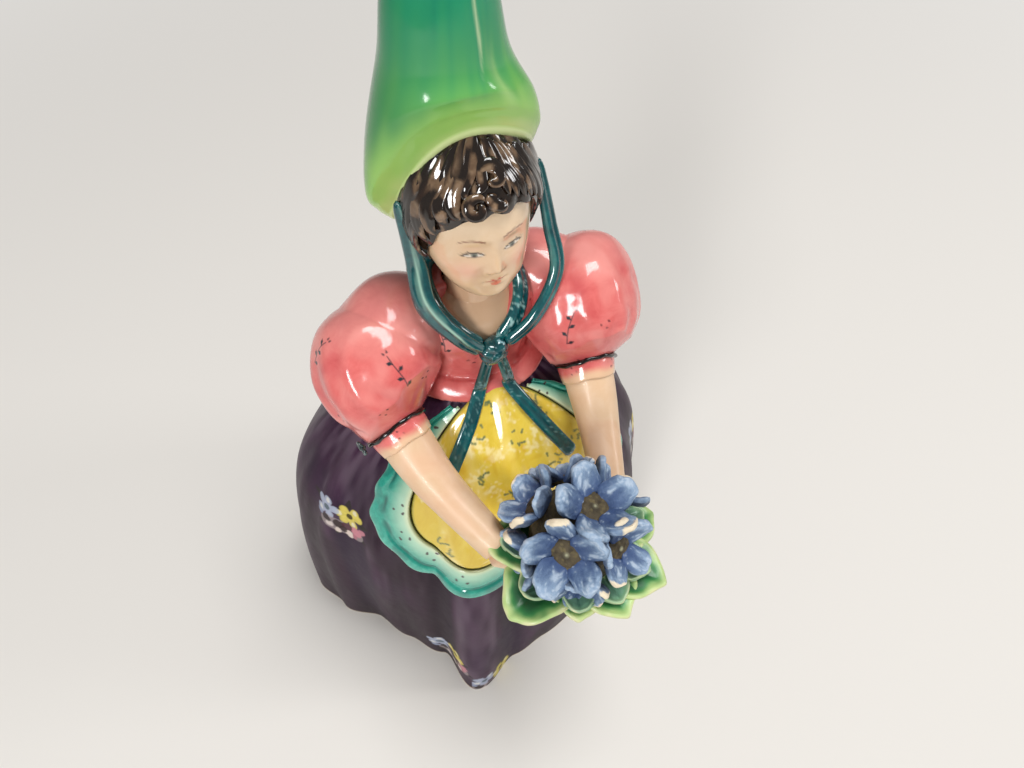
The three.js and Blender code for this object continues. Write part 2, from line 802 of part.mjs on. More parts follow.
function posyCore(grow = 0) {
  return ellipsoid(posy, vec(1, 1, 1).multiplyScalar(posyRadius + grow), undefined, 14, 9);
}

// Each flower: degrees down from the posy's top, degrees round, share of full size, petals, spin.
const flowerPlan = [
  [12, -67, 1, 5, 15],
  [47, 42, 1, 5, 0],
  [54, 132, 0.92, 5, 20],
  [56, -28, 0.84, 5, 30],
  [66, -112, 0.86, 5, 10],
  [68, -172, 0.84, 5, 0],
  [90, 88, 0.8, 5, 30],
  [92, 22, 0.7, 5, 10],
];

function flower([down, round, size, petals, spin], grow = 0) {
  const way = posyWay(down, round);
  const turn = new THREE.Quaternion().setFromUnitVectors(vec(0, 0, 1), way);
  const eye = vec(1, 1, 0.4).multiplyScalar(flowerRadius * 0.42 * size).addScalar(grow);
  const parts = [ellipsoid(vec(0, 0, 0), eye, undefined, 8, 4)];
  const lean = new THREE.Quaternion().setFromAxisAngle(vec(0, 1, 0), rad(-petalCup));
  for (let i = 0; i < petals; i++) {
    const angle = rad(spin) + (TURN * i) / petals;
    const around = new THREE.Quaternion().setFromAxisAngle(vec(0, 0, 1), angle);
    const radii = vec(petalHalfLength, petalHalfWidth, petalHalfThickness);
    radii.multiplyScalar(size).addScalar(grow);
    const at = vec(flowerRadius * 0.64 * size, 0, petalHalfLength * 0.4 * size).applyQuaternion(around);
    parts.push(ellipsoid(at, radii, around.multiply(lean), 7, 4));
  }
  const lift = posyRadius + slipJoint + flowerRadius * 0.1 * size;
  const place = new THREE.Matrix4().compose(way.multiplyScalar(lift).add(posy), turn, vec(1, 1, 1));
  return join(parts).transform(place.toArray());
}

// Each leaf: degrees round the posy from its front, and share of full size.
const leafPlan = [
  [-92, 1],
  [-44, 1.05],
  [-12, 0.95],
  [22, 0.85],
  [64, 1.1],
  [108, 1],
  [158, 0.85],
  [-148, 0.85],
];

function leaf([round, size], grow = 0) {
  const out = posyWay(90 + leafDroop, round);
  const normal = posyWay(leafDroop, round);
  const across = normal.clone().cross(out);
  const axes = new THREE.Matrix4().makeBasis(out, across, normal);
  const turn = new THREE.Quaternion().setFromRotationMatrix(axes);
  const long = leafHalfLength * size;
  const wide = leafHalfWidth * size;
  const blade = new THREE.SphereGeometry(1, 10, 6);
  const corners = blade.attributes.position;
  for (let i = 0; i < corners.count; i++) {
    const [x, y, z] = [corners.getX(i), corners.getY(i), corners.getZ(i)];
    const spread = wide * (1 - leafTaper * x * x) + grow;
    corners.setXYZ(i, x * (long + grow), y * spread, z * (leafHalfThickness + grow) + leafCup * y * y);
  }
  const centre = vec(0, 0, -leafDrop).add(posy).addScaledVector(out, leafRing * size - long);
  blade.applyMatrix4(new THREE.Matrix4().compose(centre, turn, vec(1, 1, 1)));
  return solidOf(blade);
}

// Assembly

const group = new THREE.Group();

function add(name, solid, [color, roughness]) {
  const data = solid.getMesh();
  const geometry = new THREE.BufferGeometry();
  geometry.setAttribute("position", new THREE.BufferAttribute(new Float32Array(data.vertProperties), 3));
  geometry.setIndex(new THREE.BufferAttribute(new Uint32Array(data.triVerts), 1));
  geometry.computeVertexNormals();
  const mesh = new THREE.Mesh(geometry, new THREE.MeshStandardMaterial({ color, roughness, metalness: 0 }));
  mesh.name = name;
  group.add(mesh);
}

const gap = slipJoint;
const bodySpace = bodice(gap);
const aboutHead = headSpace(gap);
const knotSpace = knot(gap);

add("skirt", skirt(), glaze.purple);
const aboutSkirt = skirtSpace(gap);
add("apron_panel", cut(apronDome(1, slipJoint + apronThickness), aboutSkirt, bodySpace), glaze.yellow);
add("apron_frill", cut(apronFrill(), aboutSkirt, bodySpace), glaze.teal);
const underTails = apronDome(1 + gap / tailWidth, slipJoint + apronThickness + gap);
const aboutApron = apronDome(frillShare * 1.12, slipJoint + frillThickness + frillWaveHeight + gap);
add("bodice", cut(bodice(0), aboutHead, coreBore()), glaze.pink);

add("head", largest(headAndNeck()), glaze.skin);
add("hair", cut(hairSolid(0), aboutHead), glaze.hair);
add("hat", cut(hat(), hairSolid(gap), aboutHead), glaze.green);

for (const [name, side] of Object.entries(sides)) {
  const inside = [bodySpace, collar(gap), aboutSkirt, arm(side, gap), cuff(side, gap), band(side, gap)];
  add(`${name}_sleeve`, cut(sleeve(side), ...inside), glaze.pink);
  add(`${name}_sleeve_band`, cut(band(side), aboutSkirt, aboutApron), glaze.darkTeal);
  add(`${name}_cuff`, cut(cuff(side), aboutSkirt, aboutApron), glaze.pink);
  add(`${name}_arm`, cut(arm(side), aboutSkirt, aboutApron), glaze.skin);
}
const bowSeat = [sleeve(sides.right, gap), band(sides.right, gap), cuff(sides.right, gap)];
add("right_sleeve_bow", cut(sleeveBow(), ...bowSeat), glaze.darkTeal);

add("ribbon_knot", cut(knot(), bodySpace, aboutHead), glaze.darkTeal);
add("scarf", cut(collar(), bodySpace, aboutHead, knotSpace), glaze.darkTeal);
for (const [name, side] of Object.entries(sides)) {
  const above = [hatSpace(gap), hairSolid(gap), aboutHead];
  const below = [knotSpace, collar(gap), bodySpace, sleeve(side, gap)];
  add(`${name}_ribbon`, cut(ribbon(side), ...above, ...below), glaze.darkTeal);
  const underneath = [knotSpace, bodySpace, arm(side, gap), underTails, aboutSkirt];
  add(`${name}_ribbon_tail`, cut(tail(side), ...underneath), glaze.darkTeal);
}

add("posy_core", posyCore(), glaze.moss);
const placed = [posyCore(gap), arm(sides.right, gap), arm(sides.left, gap)];
flowerPlan.forEach((row, i) => {
  add(`flower_${i + 1}`, cut(flower(row), ...placed), glaze.blue);
  placed.push(flower(row, gap));
});
leafPlan.forEach((row, i) => {
  add(`leaf_${i + 1}`, cut(leaf(row), ...placed), glaze.leaf);
  placed.push(leaf(row, gap));
});
const reachOfHands = posyRadius * 6;
for (const [name, side] of Object.entries(sides)) {
  const otherSide = new THREE.BoxGeometry(reachOfHands, reachOfHands, reachOfHands);
  otherSide.translate(posy.x - side * (reachOfHands / 2 - gap / 2), posy.y, posy.z);
  add(`${name}_hand`, cut(hand(side), solidOf(otherSide), arm(side, gap), ...placed), glaze.skin);
}

// The origin is put at the middle of the whole figure's outline, on the surface that it stands on.
const outline = new THREE.Box3().setFromObject(group);
const middle = outline.getCenter(new THREE.Vector3());
group.position.set(-middle.x, -middle.y, 0);

export default group;
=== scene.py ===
import math
import random
from contextlib import contextmanager

import bpy
import numpy as np
from mathutils import Matrix, Quaternion, Vector


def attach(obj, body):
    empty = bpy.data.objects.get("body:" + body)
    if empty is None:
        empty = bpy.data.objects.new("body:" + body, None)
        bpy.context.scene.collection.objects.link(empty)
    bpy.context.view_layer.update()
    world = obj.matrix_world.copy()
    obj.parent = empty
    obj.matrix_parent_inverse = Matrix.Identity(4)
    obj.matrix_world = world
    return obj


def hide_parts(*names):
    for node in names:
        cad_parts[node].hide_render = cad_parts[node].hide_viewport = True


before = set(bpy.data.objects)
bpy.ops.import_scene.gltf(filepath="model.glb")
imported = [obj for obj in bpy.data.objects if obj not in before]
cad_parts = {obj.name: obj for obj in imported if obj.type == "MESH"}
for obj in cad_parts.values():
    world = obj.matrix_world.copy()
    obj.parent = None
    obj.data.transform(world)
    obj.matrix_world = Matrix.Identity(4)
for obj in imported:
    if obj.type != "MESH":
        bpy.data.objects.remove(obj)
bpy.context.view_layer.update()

MM = 0.001
UP = Vector((0, 0, 1))
HEM_MIDDLE = Vector((-0.2198, 9.4933, 0))  # from the middle of the figure's outline

# Sizes and places that several pieces share
waist_height, waist_shift, waist_half_width, waist_half_depth = 114, 3.5, 13.5, 11.5
hem_half_width, hem_front, hem_back = 58, 46, 50
cast_wall, vent_radius, vent_depth = 3.2, 5, 4.5
body = Vector((waist_shift, 0, waist_height))
head = Vector((4.4, -1.4, 157.8))
head_half = Vector((11.8, 12.2, 15.2))
head_turn = math.radians(2)
posy, posy_radius = Vector((8.5, -52.5, 104)), 10.9
knot_centre = Vector((3.9, -13.6, 126.4))
sleeve_radius, sleeve_half_height, cord_radius, cuff_far = 14.2, 15.5, 7.4, 14.9
sides = {"right": -1, "left": 1}


# Working with Blender's tools

def alone(piece):
    """Only this piece is selected and active."""
    bpy.ops.object.select_all(action="DESELECT")
    piece.select_set(True)
    bpy.context.view_layer.objects.active = piece


def added(primitive, **settings):
    """A new primitive. Nothing else is selected."""
    bpy.ops.object.select_all(action="DESELECT")
    primitive(**settings)
    return bpy.context.object


@contextmanager
def editing(piece, elements="VERT", select="SELECT"):
    """Edit mode on one piece, object mode afterwards. Without select, the selection stays as it is."""
    alone(piece)
    bpy.context.tool_settings.mesh_select_mode = tuple(elements == kind for kind in ("VERT", "EDGE", "FACE"))
    bpy.ops.object.mode_set(mode="EDIT")
    if select:
        bpy.ops.mesh.select_all(action=select)
    yield bpy.ops.mesh
    bpy.ops.object.mode_set(mode="OBJECT")


def face_out(piece):
    with editing(piece) as mesh:
        mesh.normals_make_consistent(inside=False)


def turn_over(piece):
    with editing(piece) as mesh:
        mesh.flip_normals()


def settle(piece):
    """Puts a piece's place, turn and scale into its mesh."""
    alone(piece)
    bpy.ops.object.transform_apply(location=True, rotation=True, scale=True)


def modify(piece, kind, **settings):
    """Adds a modifier and applies it."""
    alone(piece)
    modifier = piece.modifiers.new(kind.title(), kind)
    for name, value in settings.items():
        setattr(modifier, name, value)
    bpy.ops.object.modifier_apply(modifier=modifier.name)


def recast(piece, grain_size, passes, strength=0.6):
    """Gives a piece an even, fine skin with its edges softened, as glaze softens them."""
    modify(piece, "REMESH", mode="VOXEL", voxel_size=grain_size)
    modify(piece, "SMOOTH", factor=strength, iterations=passes)


def corners(piece):
    """The piece's corners as an array of points."""
    flat = np.empty(len(piece.data.vertices) * 3)
    piece.data.vertices.foreach_get("co", flat)
    return flat.reshape(-1, 3)


def move_corners(piece, points):
    piece.data.vertices.foreach_set("co", np.ascontiguousarray(points, dtype=float).ravel())
    piece.data.update()


def outward(piece):
    """The direction that the surface faces at each corner."""
    flat = np.empty(len(piece.data.vertices) * 3, dtype=np.float32)
    piece.data.vertex_normals.foreach_get("vector", flat)
    return flat.reshape(-1, 3).astype(float)


def note(piece, name, values):
    """Keeps a number with each corner, for the painting."""
    layer = piece.data.attributes.new(name, "FLOAT", "POINT")
    layer.data.foreach_set("value", np.asarray(values, dtype=float))


def noted(piece, name):
    """The numbers that were kept with the corners."""
    values = np.empty(len(piece.data.vertices))
    piece.data.attributes[name].data.foreach_get("value", values)
    return values


def ball(place, half_sizes, segments=48, rings=24, turn=None):
    """A ball at its size and place."""
    piece = added(bpy.ops.mesh.primitive_uv_sphere_add, segments=segments, ring_count=rings, radius=1,
                  location=place)
    piece.scale = half_sizes
    if turn is not None:
        piece.rotation_mode = "QUATERNION"
        piece.rotation_quaternion = turn
    settle(piece)
    return piece


def unit_ball(segments, rings):
    return ball((0, 0, 0), (1, 1, 1), segments, rings)


def lathe(profile, steps):
    """Spins a profile of radius and height round the upright axis. Its ends stay open."""
    piece = added(bpy.ops.mesh.primitive_plane_add, size=1)
    with editing(piece) as mesh:
        mesh.merge(type="CENTER")
        bpy.ops.transform.translate(value=(profile[0][0], 0, profile[0][1]))
        for (r0, z0), (r1, z1) in zip(profile, profile[1:]):
            mesh.extrude_region_move(TRANSFORM_OT_translate={"value": (r1 - r0, 0, z1 - z0)})
        mesh.select_all(action="SELECT")
        mesh.spin(steps=steps, angle=math.tau, center=(0, 0, 0), axis=(0, 0, 1))
        mesh.select_all(action="SELECT")
        mesh.remove_doubles(threshold=1e-3)
        mesh.normals_make_consistent(inside=False)
    return piece


def spun(rows, steps):
    """A spun cone with rings of radius 1, 2, 3 and so on, and each corner's row and angle to her left."""
    piece = lathe([(1 + row, -row) for row in range(rows)], steps)
    at = corners(piece)
    return piece, np.rint(np.hypot(at[:, 0], at[:, 1]) - 1).astype(int), np.arctan2(at[:, 0], -at[:, 1])


def joined(pieces):
    """Several pieces made one."""
    bpy.ops.object.select_all(action="DESELECT")
    for piece in pieces:
        piece.select_set(True)
    bpy.context.view_layer.objects.active = pieces[0]
    bpy.ops.object.join()
    return pieces[0]


def copied(piece):
    """A copy with a mesh of its own."""
    other = piece.copy()
    other.data = piece.data.copy()
    bpy.context.scene.collection.objects.link(other)
    return other


def cast_from(node_name):
    """A merged copy of a solid of the frame, in millimetres from the hem's middle."""
    piece = copied(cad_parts[node_name])
    for key in list(piece.keys()):
        del piece[key]
    piece.data.materials.clear()
    with editing(piece) as mesh:
        mesh.remove_doubles(threshold=1e-6)
    move_corners(piece, corners(piece) / MM - np.array(HEM_MIDDLE))
    return piece


def way_through(points, count):
    """A smooth way through points, as an even number of stops."""
    knots = np.array([tuple(p) for p in points], dtype=float)
    padded = np.vstack([2 * knots[0] - knots[1], knots, 2 * knots[-1] - knots[-2]])
    share = np.linspace(0, len(knots) - 1, count)
    i = np.minimum(share.astype(int), len(knots) - 2)
    t = (share - i)[:, None]
    a, b, c, d = (padded[i + k] for k in range(4))
    return 0.5 * (2 * b + (c - a) * t + (2 * a - 5 * b + 4 * c - d) * t**2 + (3 * b - a - 3 * c + d) * t**3)


def flat_way(points, count):
    """A smooth way through flat points."""
    return way_through([(*point, 0) for point in points], count)[:, :2]


def straight(start, end, count, first=0, last=1):
    """An even number of stops between two shares of the way from start to end."""
    return np.array([start.lerp(end, share) for share in np.linspace(first, last, count)])


def spread_over(values, count, at=None):
    """Values given at shares of a way, from 0 to 1, as an even number of stops."""
    at = np.linspace(0, 1, len(values)) if at is None else at
    return np.interp(np.linspace(0, 1, count), at, values)


def unit(vectors):
    vectors = np.asarray(vectors, dtype=float)
    return vectors / np.maximum(np.linalg.norm(vectors, axis=-1, keepdims=True), 1e-9)


def beside(vector, axis):
    """The part of a vector that is square to an axis, with length 1."""
    return (vector - vector.dot(axis) * axis).normalized()


def hump(values, middle, breadth, power=2):
    """1 at the middle, and falling to 0 on both sides of it over the breadth."""
    return np.exp(-((np.abs(values - middle) / breadth) ** power))


def boxed(at, power):
    """Values from -1 to 1 drawn towards its ends, which makes a round form boxy at a low power."""
    return np.sign(at) * np.abs(at) ** power


def strip_shares(count, around):
    """How far along a swept strip and how far round it each of its corners lies."""
    number = np.arange(count * around)
    return number // around / count, number % around / around


def swept(way, facing, half_width, half_thickness, around=16, groove=0.0, ends=0.12):
    """A closed strip along a way. It lies flat against what it faces away from."""
    count = len(way)
    ahead = unit(np.gradient(way, axis=0))
    across = unit(np.cross(ahead, facing))
    up = unit(np.cross(across, ahead))
    share = np.linspace(0, 1, count)
    close = np.minimum(1, np.minimum(share, 1 - share) / ends)
    close = np.sqrt(np.maximum(1e-4, 1 - (1 - close) ** 2))
    wide = np.broadcast_to(half_width, count) * close
    thick = np.broadcast_to(half_thickness, count) * close
    ring = range(around)
    strands = []
    for k in ring:
        x, z = math.cos(math.tau * k / around), math.sin(math.tau * k / around)
        dip = groove * hump(x, 0, 0.3) if z > 0 else 0
        strands.append(way + across * (wide * x)[:, None] + up * (thick * (z - dip))[:, None])
    faces = [(i + k, i + (k + 1) % around, i + (k + 1) % around + around, i + k + around)
             for i in range(0, (count - 1) * around, around) for k in ring]
    faces += [tuple(ring)[::-1], tuple((count - 1) * around + k for k in ring)]
    mesh = bpy.data.meshes.new("strip")
    mesh.from_pydata(np.stack(strands, axis=1).reshape(-1, 3).tolist(), [], faces)
    piece = bpy.data.objects.new("strip", mesh)
    bpy.context.scene.collection.objects.link(piece)
    face_out(piece)
    return piece


def ringed_disc(rings, around):
    """A flat disc of radius 1 made of rings, from a circle extruded inwards."""
    piece = added(bpy.ops.mesh.primitive_circle_add, vertices=around, radius=1)
    with editing(piece) as mesh:
        for ring in range(rings - 1, 0, -1):
            mesh.extrude_region_move()
            bpy.ops.transform.resize(value=(ring / (ring + 1), ring / (ring + 1), 1))
        mesh.extrude_region_move()
        mesh.merge(type="CENTER")
        mesh.select_all(action="SELECT")
        mesh.normals_make_consistent(inside=False)
    return piece


def finer(piece, places, reach, cuts):
    """Subdivides the faces near places, where small things are painted."""
    mesh = piece.data
    centres = np.empty(len(mesh.polygons) * 3)
    mesh.polygons.foreach_get("center", centres)
    gaps = [np.linalg.norm(centres.reshape(-1, 3) - np.array(place), axis=1) for place in places]
    for elements in (mesh.vertices, mesh.edges):
        elements.foreach_set("select", np.zeros(len(elements), dtype=bool))
    mesh.polygons.foreach_set("select", np.min(gaps, axis=0) < reach)
    with editing(piece, "FACE", select=None) as tools:
        tools.subdivide(number_cuts=cuts)


def finished(piece, name, nodes, material):
    """Brings a piece to metres and to its place, and hands it to the frame."""
    piece.name = piece.data.name = name
    piece.location = HEM_MIDDLE * MM
    piece.scale = (MM, MM, MM)
    settle(piece)
    bpy.ops.object.shade_smooth()
    piece.data.materials.clear()
    piece.data.materials.append(material)
    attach(piece, "root")
    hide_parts(*nodes)


# Colours and glazes

def pigment(code):
    """An sRGB hex colour as linear red, green and blue."""
    parts = [int(code[i : i + 2], 16) / 255 for i in (1, 3, 5)]
    return tuple(c / 12.92 if c <= 0.04045 else ((c + 0.055) / 1.055) ** 2.4 for c in parts)


def node(tree, kind, sockets=(), **settings):
    """Adds a node. Each input gets a value or another node's output."""
    made = tree.nodes.new("ShaderNode" + kind)
    for name, value in settings.items():
        setattr(made, name, value)
    for key, value in dict(sockets).items():
        if isinstance(value, bpy.types.NodeSocket):
            tree.links.new(value, made.inputs[key])
        else:
            made.inputs[key].default_value = value
    return made


def fired(name, tones, lump, roughness, coat, wave=2.5, ripple=0.05, stretch=(1, 1, 1), grit=0.0, shine=0.5):
    """A fired finish: mottled pigment between tones, the painting of the piece over it, and gloss.

    lump and wave are the sizes of the mottling and of the surface's unevenness, in millimetres.
    """
    material = bpy.data.materials.new(name)
    material.use_nodes = True
    tree = material.node_tree
    tree.nodes.clear()
    place = node(tree, "TexCoord").outputs["Object"]
    drawn = node(tree, "Mapping", {"Vector": place, "Scale": stretch})
    mottle = node(tree, "TexNoise", {"Vector": drawn.outputs[0], "Scale": 1 / (lump * MM), "Detail": 5.0,
                                     "Roughness": 0.62, "Distortion": 0.6})
    ramp = node(tree, "ValToRGB", {"Fac": mottle.outputs["Fac"]})
    stops = ramp.color_ramp.elements
    while len(stops) < len(tones):
        stops.new(0.5)
    for stop, (position, code) in zip(stops, tones):
        stop.position = position
        stop.color = (*pigment(code), 1)
    painting = node(tree, "Attribute", attribute_name="paint")
    bare = node(tree, "Mix", {0: painting.outputs["Alpha"], 6: ramp.outputs["Color"], 7: (0, 0, 0, 1)},
                data_type="RGBA")
    whole = node(tree, "Mix", {0: 1.0, 6: bare.outputs[2], 7: painting.outputs["Color"]},
                 data_type="RGBA", blend_type="ADD")
    swell = node(tree, "TexNoise", {"Vector": place, "Scale": 1 / (wave * MM), "Detail": 2.0})
    fine = node(tree, "TexNoise", {"Vector": place, "Scale": 1 / (0.35 * MM), "Detail": 3.0})
    uneven = node(tree, "Math", {0: fine.outputs["Fac"], 1: grit, 2: swell.outputs["Fac"]},
                  operation="MULTIPLY_ADD")
    bump = node(tree, "Bump", {"Height": uneven.outputs[0], "Strength": 0.6, "Distance": ripple * MM})
    dull = node(tree, "MapRange", {"Value": mottle.outputs["Fac"], "From Min": 0.3, "From Max": 0.7,
                                   "To Min": roughness * 0.85, "To Max": roughness * 1.2})
    shader = node(tree, "BsdfPrincipled", {
        "Base Color": whole.outputs[2], "Roughness": dull.outputs[0], "Normal": bump.outputs[0],
        "IOR": 1.5, "Specular IOR Level": shine,
        "Coat Weight": coat, "Coat Roughness": 0.03, "Coat IOR": 1.5,
    })
    node(tree, "OutputMaterial", {"Surface": shader.outputs[0]})
    return material


# Painting on the glaze

def grain(points, size, seed):
    """Smooth random values from 0 to 1, with lumps of the given size in millimetres."""
    spots = points / np.array(size, dtype=float) + 11.37 * (seed + 1)
    cell = np.floor(spots)
    part = spots - cell
    part = part * part * (3 - 2 * part)
    total = np.zeros(len(points))
    for corner in np.ndindex(2, 2, 2):
        value = np.sin((cell + corner) @ (127.1, 311.7, 74.7)) * 43758.5453
        weight = np.prod(np.where(np.array(corner) == 1, part, 1 - part), axis=1)
        total += (value - np.floor(value)) * weight
    return total


def brush(across, along, seed, still=0.0):
    """Smooth random values over a surface that is measured by two numbers, one across the strokes."""
    return grain(np.stack([across, along, across * 0 + still], axis=1), 1.0, seed)


def rise(values, low, high):
    """0 below low, 1 above high and smooth between them."""
    t = np.clip((values - low) / (high - low), 0, 1)
    return t * t * (3 - 2 * t)


def fall(values, low, high):
    """1 below low, 0 above high and smooth between them."""
    return rise(-values, -high, -low)


class Painting:
    """The painting of one piece: colour and cover at its corners."""

    def __init__(self, piece):
        self.piece = piece
        self.at = corners(piece)
        self.out = outward(piece)
        self.coat = np.zeros((len(self.at), 4))

    def lay(self, code, cover, where=slice(None)):
        """Lays a colour over what is there, where cover says how densely."""
        cover = np.clip(np.broadcast_to(cover, len(self.coat[where])), 0, 1)[:, None]
        self.coat[where] = self.coat[where] * (1 - cover) + np.array([*pigment(code), 1]) * cover

    def motif(self, place, strokes, up=UP, turn=0.0, size=1.0, reach=9.0):
        """Paints strokes round a place: x and y of both ends, both half widths, colour and cover."""
        offset = self.at - np.array(place)
        normal = Vector(self.out[np.argmin((offset**2).sum(axis=1))])
        upright = Quaternion(normal, turn) @ beside(Vector(up), normal)
        right = upright.cross(normal)
        close = (offset**2).sum(axis=1) < (reach * size) ** 2
        near = np.nonzero(close & (self.out @ np.array(normal) > 0.25))[0]
        flat = np.zeros((len(self.at), 2))
        flat[near] = offset[near] @ np.array([right, upright]).T / size
        self.draw(flat, strokes, near)

    def draw(self, flat, strokes, near):
        """Paints strokes at flat places of the corners named by near."""
        for x0, y0, x1, y1, wide0, wide1, code, cover in strokes:
            start, run = np.array((x0, y0)), np.array((x1 - x0, y1 - y0))
            share = np.clip(((flat[near] - start) @ run) / max(run @ run, 1e-9), 0, 1)
            gap = np.linalg.norm(flat[near] - start - share[:, None] * run, axis=1)
            gap -= wide0 + (wide1 - wide0) * share
            self.lay(code, cover * (1 - rise(gap, -0.08, 0.14)), near)

    def keep(self):
        layer = self.piece.data.color_attributes.new("paint", "FLOAT_COLOR", "POINT")
        layer.data.foreach_set("color", self.coat.ravel())


def sprig(seed, length):
    """A slender painted twig: a wavy stem, small paired leaves and, towards its tip, loose flecks."""
    rng = random.Random(seed)
    dark, grey, red = "#26343a", "#8d86a6", "#6b2a33"
    bend, stops = rng.uniform(0.3, 0.6), 6
    stem = [(bend * math.sin(0.9 * i + seed), length * (i / (stops - 1) - 0.5)) for i in range(stops)]
    strokes = [(*a, *b, 0.1, 0.08, dark, 0.9) for a, b in zip(stem[:4], stem[1:5])]
    for i, (x, y) in enumerate(stem):
        for side in (-1, 1):
            out, up = side * rng.uniform(0.8, 1.2), rng.uniform(0.5, 0.9)
            if i < 4 and (2 * i + side) % 4 == 1:
                middle = (x + out * 0.7, y + up * 0.7)
                strokes += [(x + out * 0.2, y + up * 0.2, *middle, 0.12, 0.4, dark if i else red, 0.92),
                            (*middle, x + out * 1.15, y + up * 1.15, 0.38, 0.1, dark, 0.85)]
            elif i > 2 and (i + side) % 2:
                strokes.append((x + out * 0.4, y + up, x + out * 0.5, y + up + 0.3, 0.22, 0.12,
                                grey if i % 2 else dark, 0.8))
    return strokes


def dots(seed):
    """A few small dots with a brush's uneven touch."""
    rng = random.Random(seed)
    return [(x, y, x + rng.uniform(-0.4, 0.4), y + rng.uniform(-0.3, 0.3), 0.24, 0.16, "#3a1f2b", 0.9)
            for x, y in ((-1.1, 0.3), (0.9, 0.9), (0.3, -0.9))]


def daisy(rng, x0, y0, petals, far, colour, eye):
    """A flower of round petals, each with a pale or plain tip."""
    strokes = []
    for i in range(petals):
        angle = math.tau * i / petals + rng.uniform(-0.3, 0.3)
        x, y = math.cos(angle) * rng.uniform(0.85, 1.1), math.sin(angle) * rng.uniform(0.8, 1.05)
        tip = (x0 + x * far, y0 + y * far)
        strokes += [(x0 + x * 0.7, y0 + y * 0.7, *tip, 0.6, 0.8, colour, 0.85),
                    (*tip, tip[0], tip[1] + 0.3, 0.4, 0.3, "#e4e0d2" if i % 2 else colour, 0.6)]
    return strokes + [(x0, y0, x0, y0, 0.6, 0.6, eye, 0.95)]


def spray(seed):
    """A small painted bunch: a yellow daisy, a pale flower, pink buds and dark leaves."""
    rng = random.Random(seed)
    strokes = [(-2.6, 0.4, 2.4, -0.6, 1.6, 1.8, "#6c5a70", 0.3)]
    leaves = ((-3.6, -2.2, 3.9, 1.8), (3.6, -2.6, 5.6, 1.4), (4.0, 0.6, 0.3, 1.4), (-1.0, -3.0, 4.6, 1.6),
              (-4.6, 2.2, 2.8, 1.4), (1.5, 3.8, 1.4, 1.2))
    for x, y, angle, long in leaves:
        tip = (x + long * math.cos(angle), y + long * math.sin(angle))
        strokes.append((x, y, *tip, 0.6, 0.2, "#2b2620", 0.85))
    strokes += daisy(rng, 1.7, 1.5, 6, 1.75, "#d9c860", "#3a3018")
    strokes += daisy(rng, -2.8, 1.4, 5, 1.6, "#a9b0c4", "#55626a")
    strokes.append((-2.6, -2.0, 2.8, -2.4, 1.7, 1.5, "#a89a9a", 0.6))
    buds = ((-0.6, -1.7, 1.1, "#24120f"), (1.2, -1.6, 1.0, "#4c2430"), (2.9, -1.7, 1.1, "#c9808c"),
            (1.3, -3.3, 0.8, "#decdc2"), (-0.9, -3.6, 0.6, "#d9cabf"), (-2.5, -2.5, 0.75, "#cfc3bd"),
            (-3.1, -1.2, 0.8, "#241a1c"), (0.2, -2.7, 0.8, "#2b1517"), (4.0, -0.9, 0.6, "#c17f8b"),
            (2.5, -3.2, 0.5, "#b06a78"), (-4.4, -0.6, 0.6, "#8f98b0"))
    for x, y, wide, colour in buds:
        end = (x + rng.uniform(-0.5, 0.5), y + rng.uniform(-0.5, 0.5))
        strokes.append((x, y, *end, wide, wide * 0.7, colour, 0.88))
    return strokes


def squiggles(seed):
    """Small hooked brush marks and dots."""
    rng = random.Random(seed)
    strokes = []
    for _ in range(5):
        x, y = rng.uniform(-1.7, 1.7), rng.uniform(-1.5, 1.5)
        angle = rng.uniform(0, math.tau)
        for _ in range(rng.randint(1, 3)):
            angle += rng.uniform(-1.3, 1.3)
            end = (x + 0.5 * math.cos(angle), y + 0.5 * math.sin(angle))
            strokes.append((x, y, *end, 0.17, 0.1, "#4d6a54", 0.75))
            x, y = end
        strokes.append((x, y, x, y, 0.24, 0.24, "#66744a", 0.7))
    return strokes


# Stage, lamps and camera

floor = added(bpy.ops.mesh.primitive_plane_add, size=6)
floor.name = "floor"
paper = bpy.data.materials.new("matt_paper")
# plain pale paper, which the eye sees run out into the bright background
paper.use_nodes = True
tree = paper.node_tree
tree.nodes.clear()
place = node(tree, "TexCoord")
away = node(tree, "VectorMath", {0: place.outputs["Object"]}, operation="LENGTH")
fade = node(tree, "MapRange", {"Value": away.outputs["Value"], "From Min": 0.2, "From Max": 0.9},
            interpolation_type="SMOOTHSTEP")
ray = node(tree, "LightPath")
open_share = node(tree, "Math", {0: fade.outputs[0], 1: ray.outputs["Is Camera Ray"]}, operation="MULTIPLY")
matt = node(tree, "BsdfPrincipled", {"Base Color": (*pigment("#e3dfd9"), 1), "Roughness": 0.9})
bright = node(tree, "Emission", {"Color": (*pigment("#efedea"), 1), "Strength": 1.0})
mixed = node(tree, "MixShader", {0: open_share.outputs[0], 1: matt.outputs[0], 2: bright.outputs[0]})
node(tree, "OutputMaterial", {"Surface": mixed.outputs[0]})
floor.data.materials.append(paper)


def softbox(name, place, aim, width, height, power):
    """A rectangular lamp at a place, turned to what it lights."""
    bpy.ops.object.light_add(type="AREA", location=place)
    lamp = bpy.context.object
    lamp.name = name
    lamp.rotation_euler = (Vector(aim) - Vector(place)).to_track_quat("-Z", "Z").to_euler()
    lamp.data.shape = "RECTANGLE"
    lamp.data.size = width
    lamp.data.size_y = height
    lamp.data.energy = power


softbox("window", (-0.75, -0.85, 0.62), (0, 0, 0.12), 0.24, 0.42, 8.5)
softbox("overhead", (0.25, -0.1, 1.3), (0, 0, 0.1), 0.5, 0.5, 10)
softbox("side", (0.95, -0.35, 0.5), (0, 0, 0.12), 0.25, 0.25, 2.2)

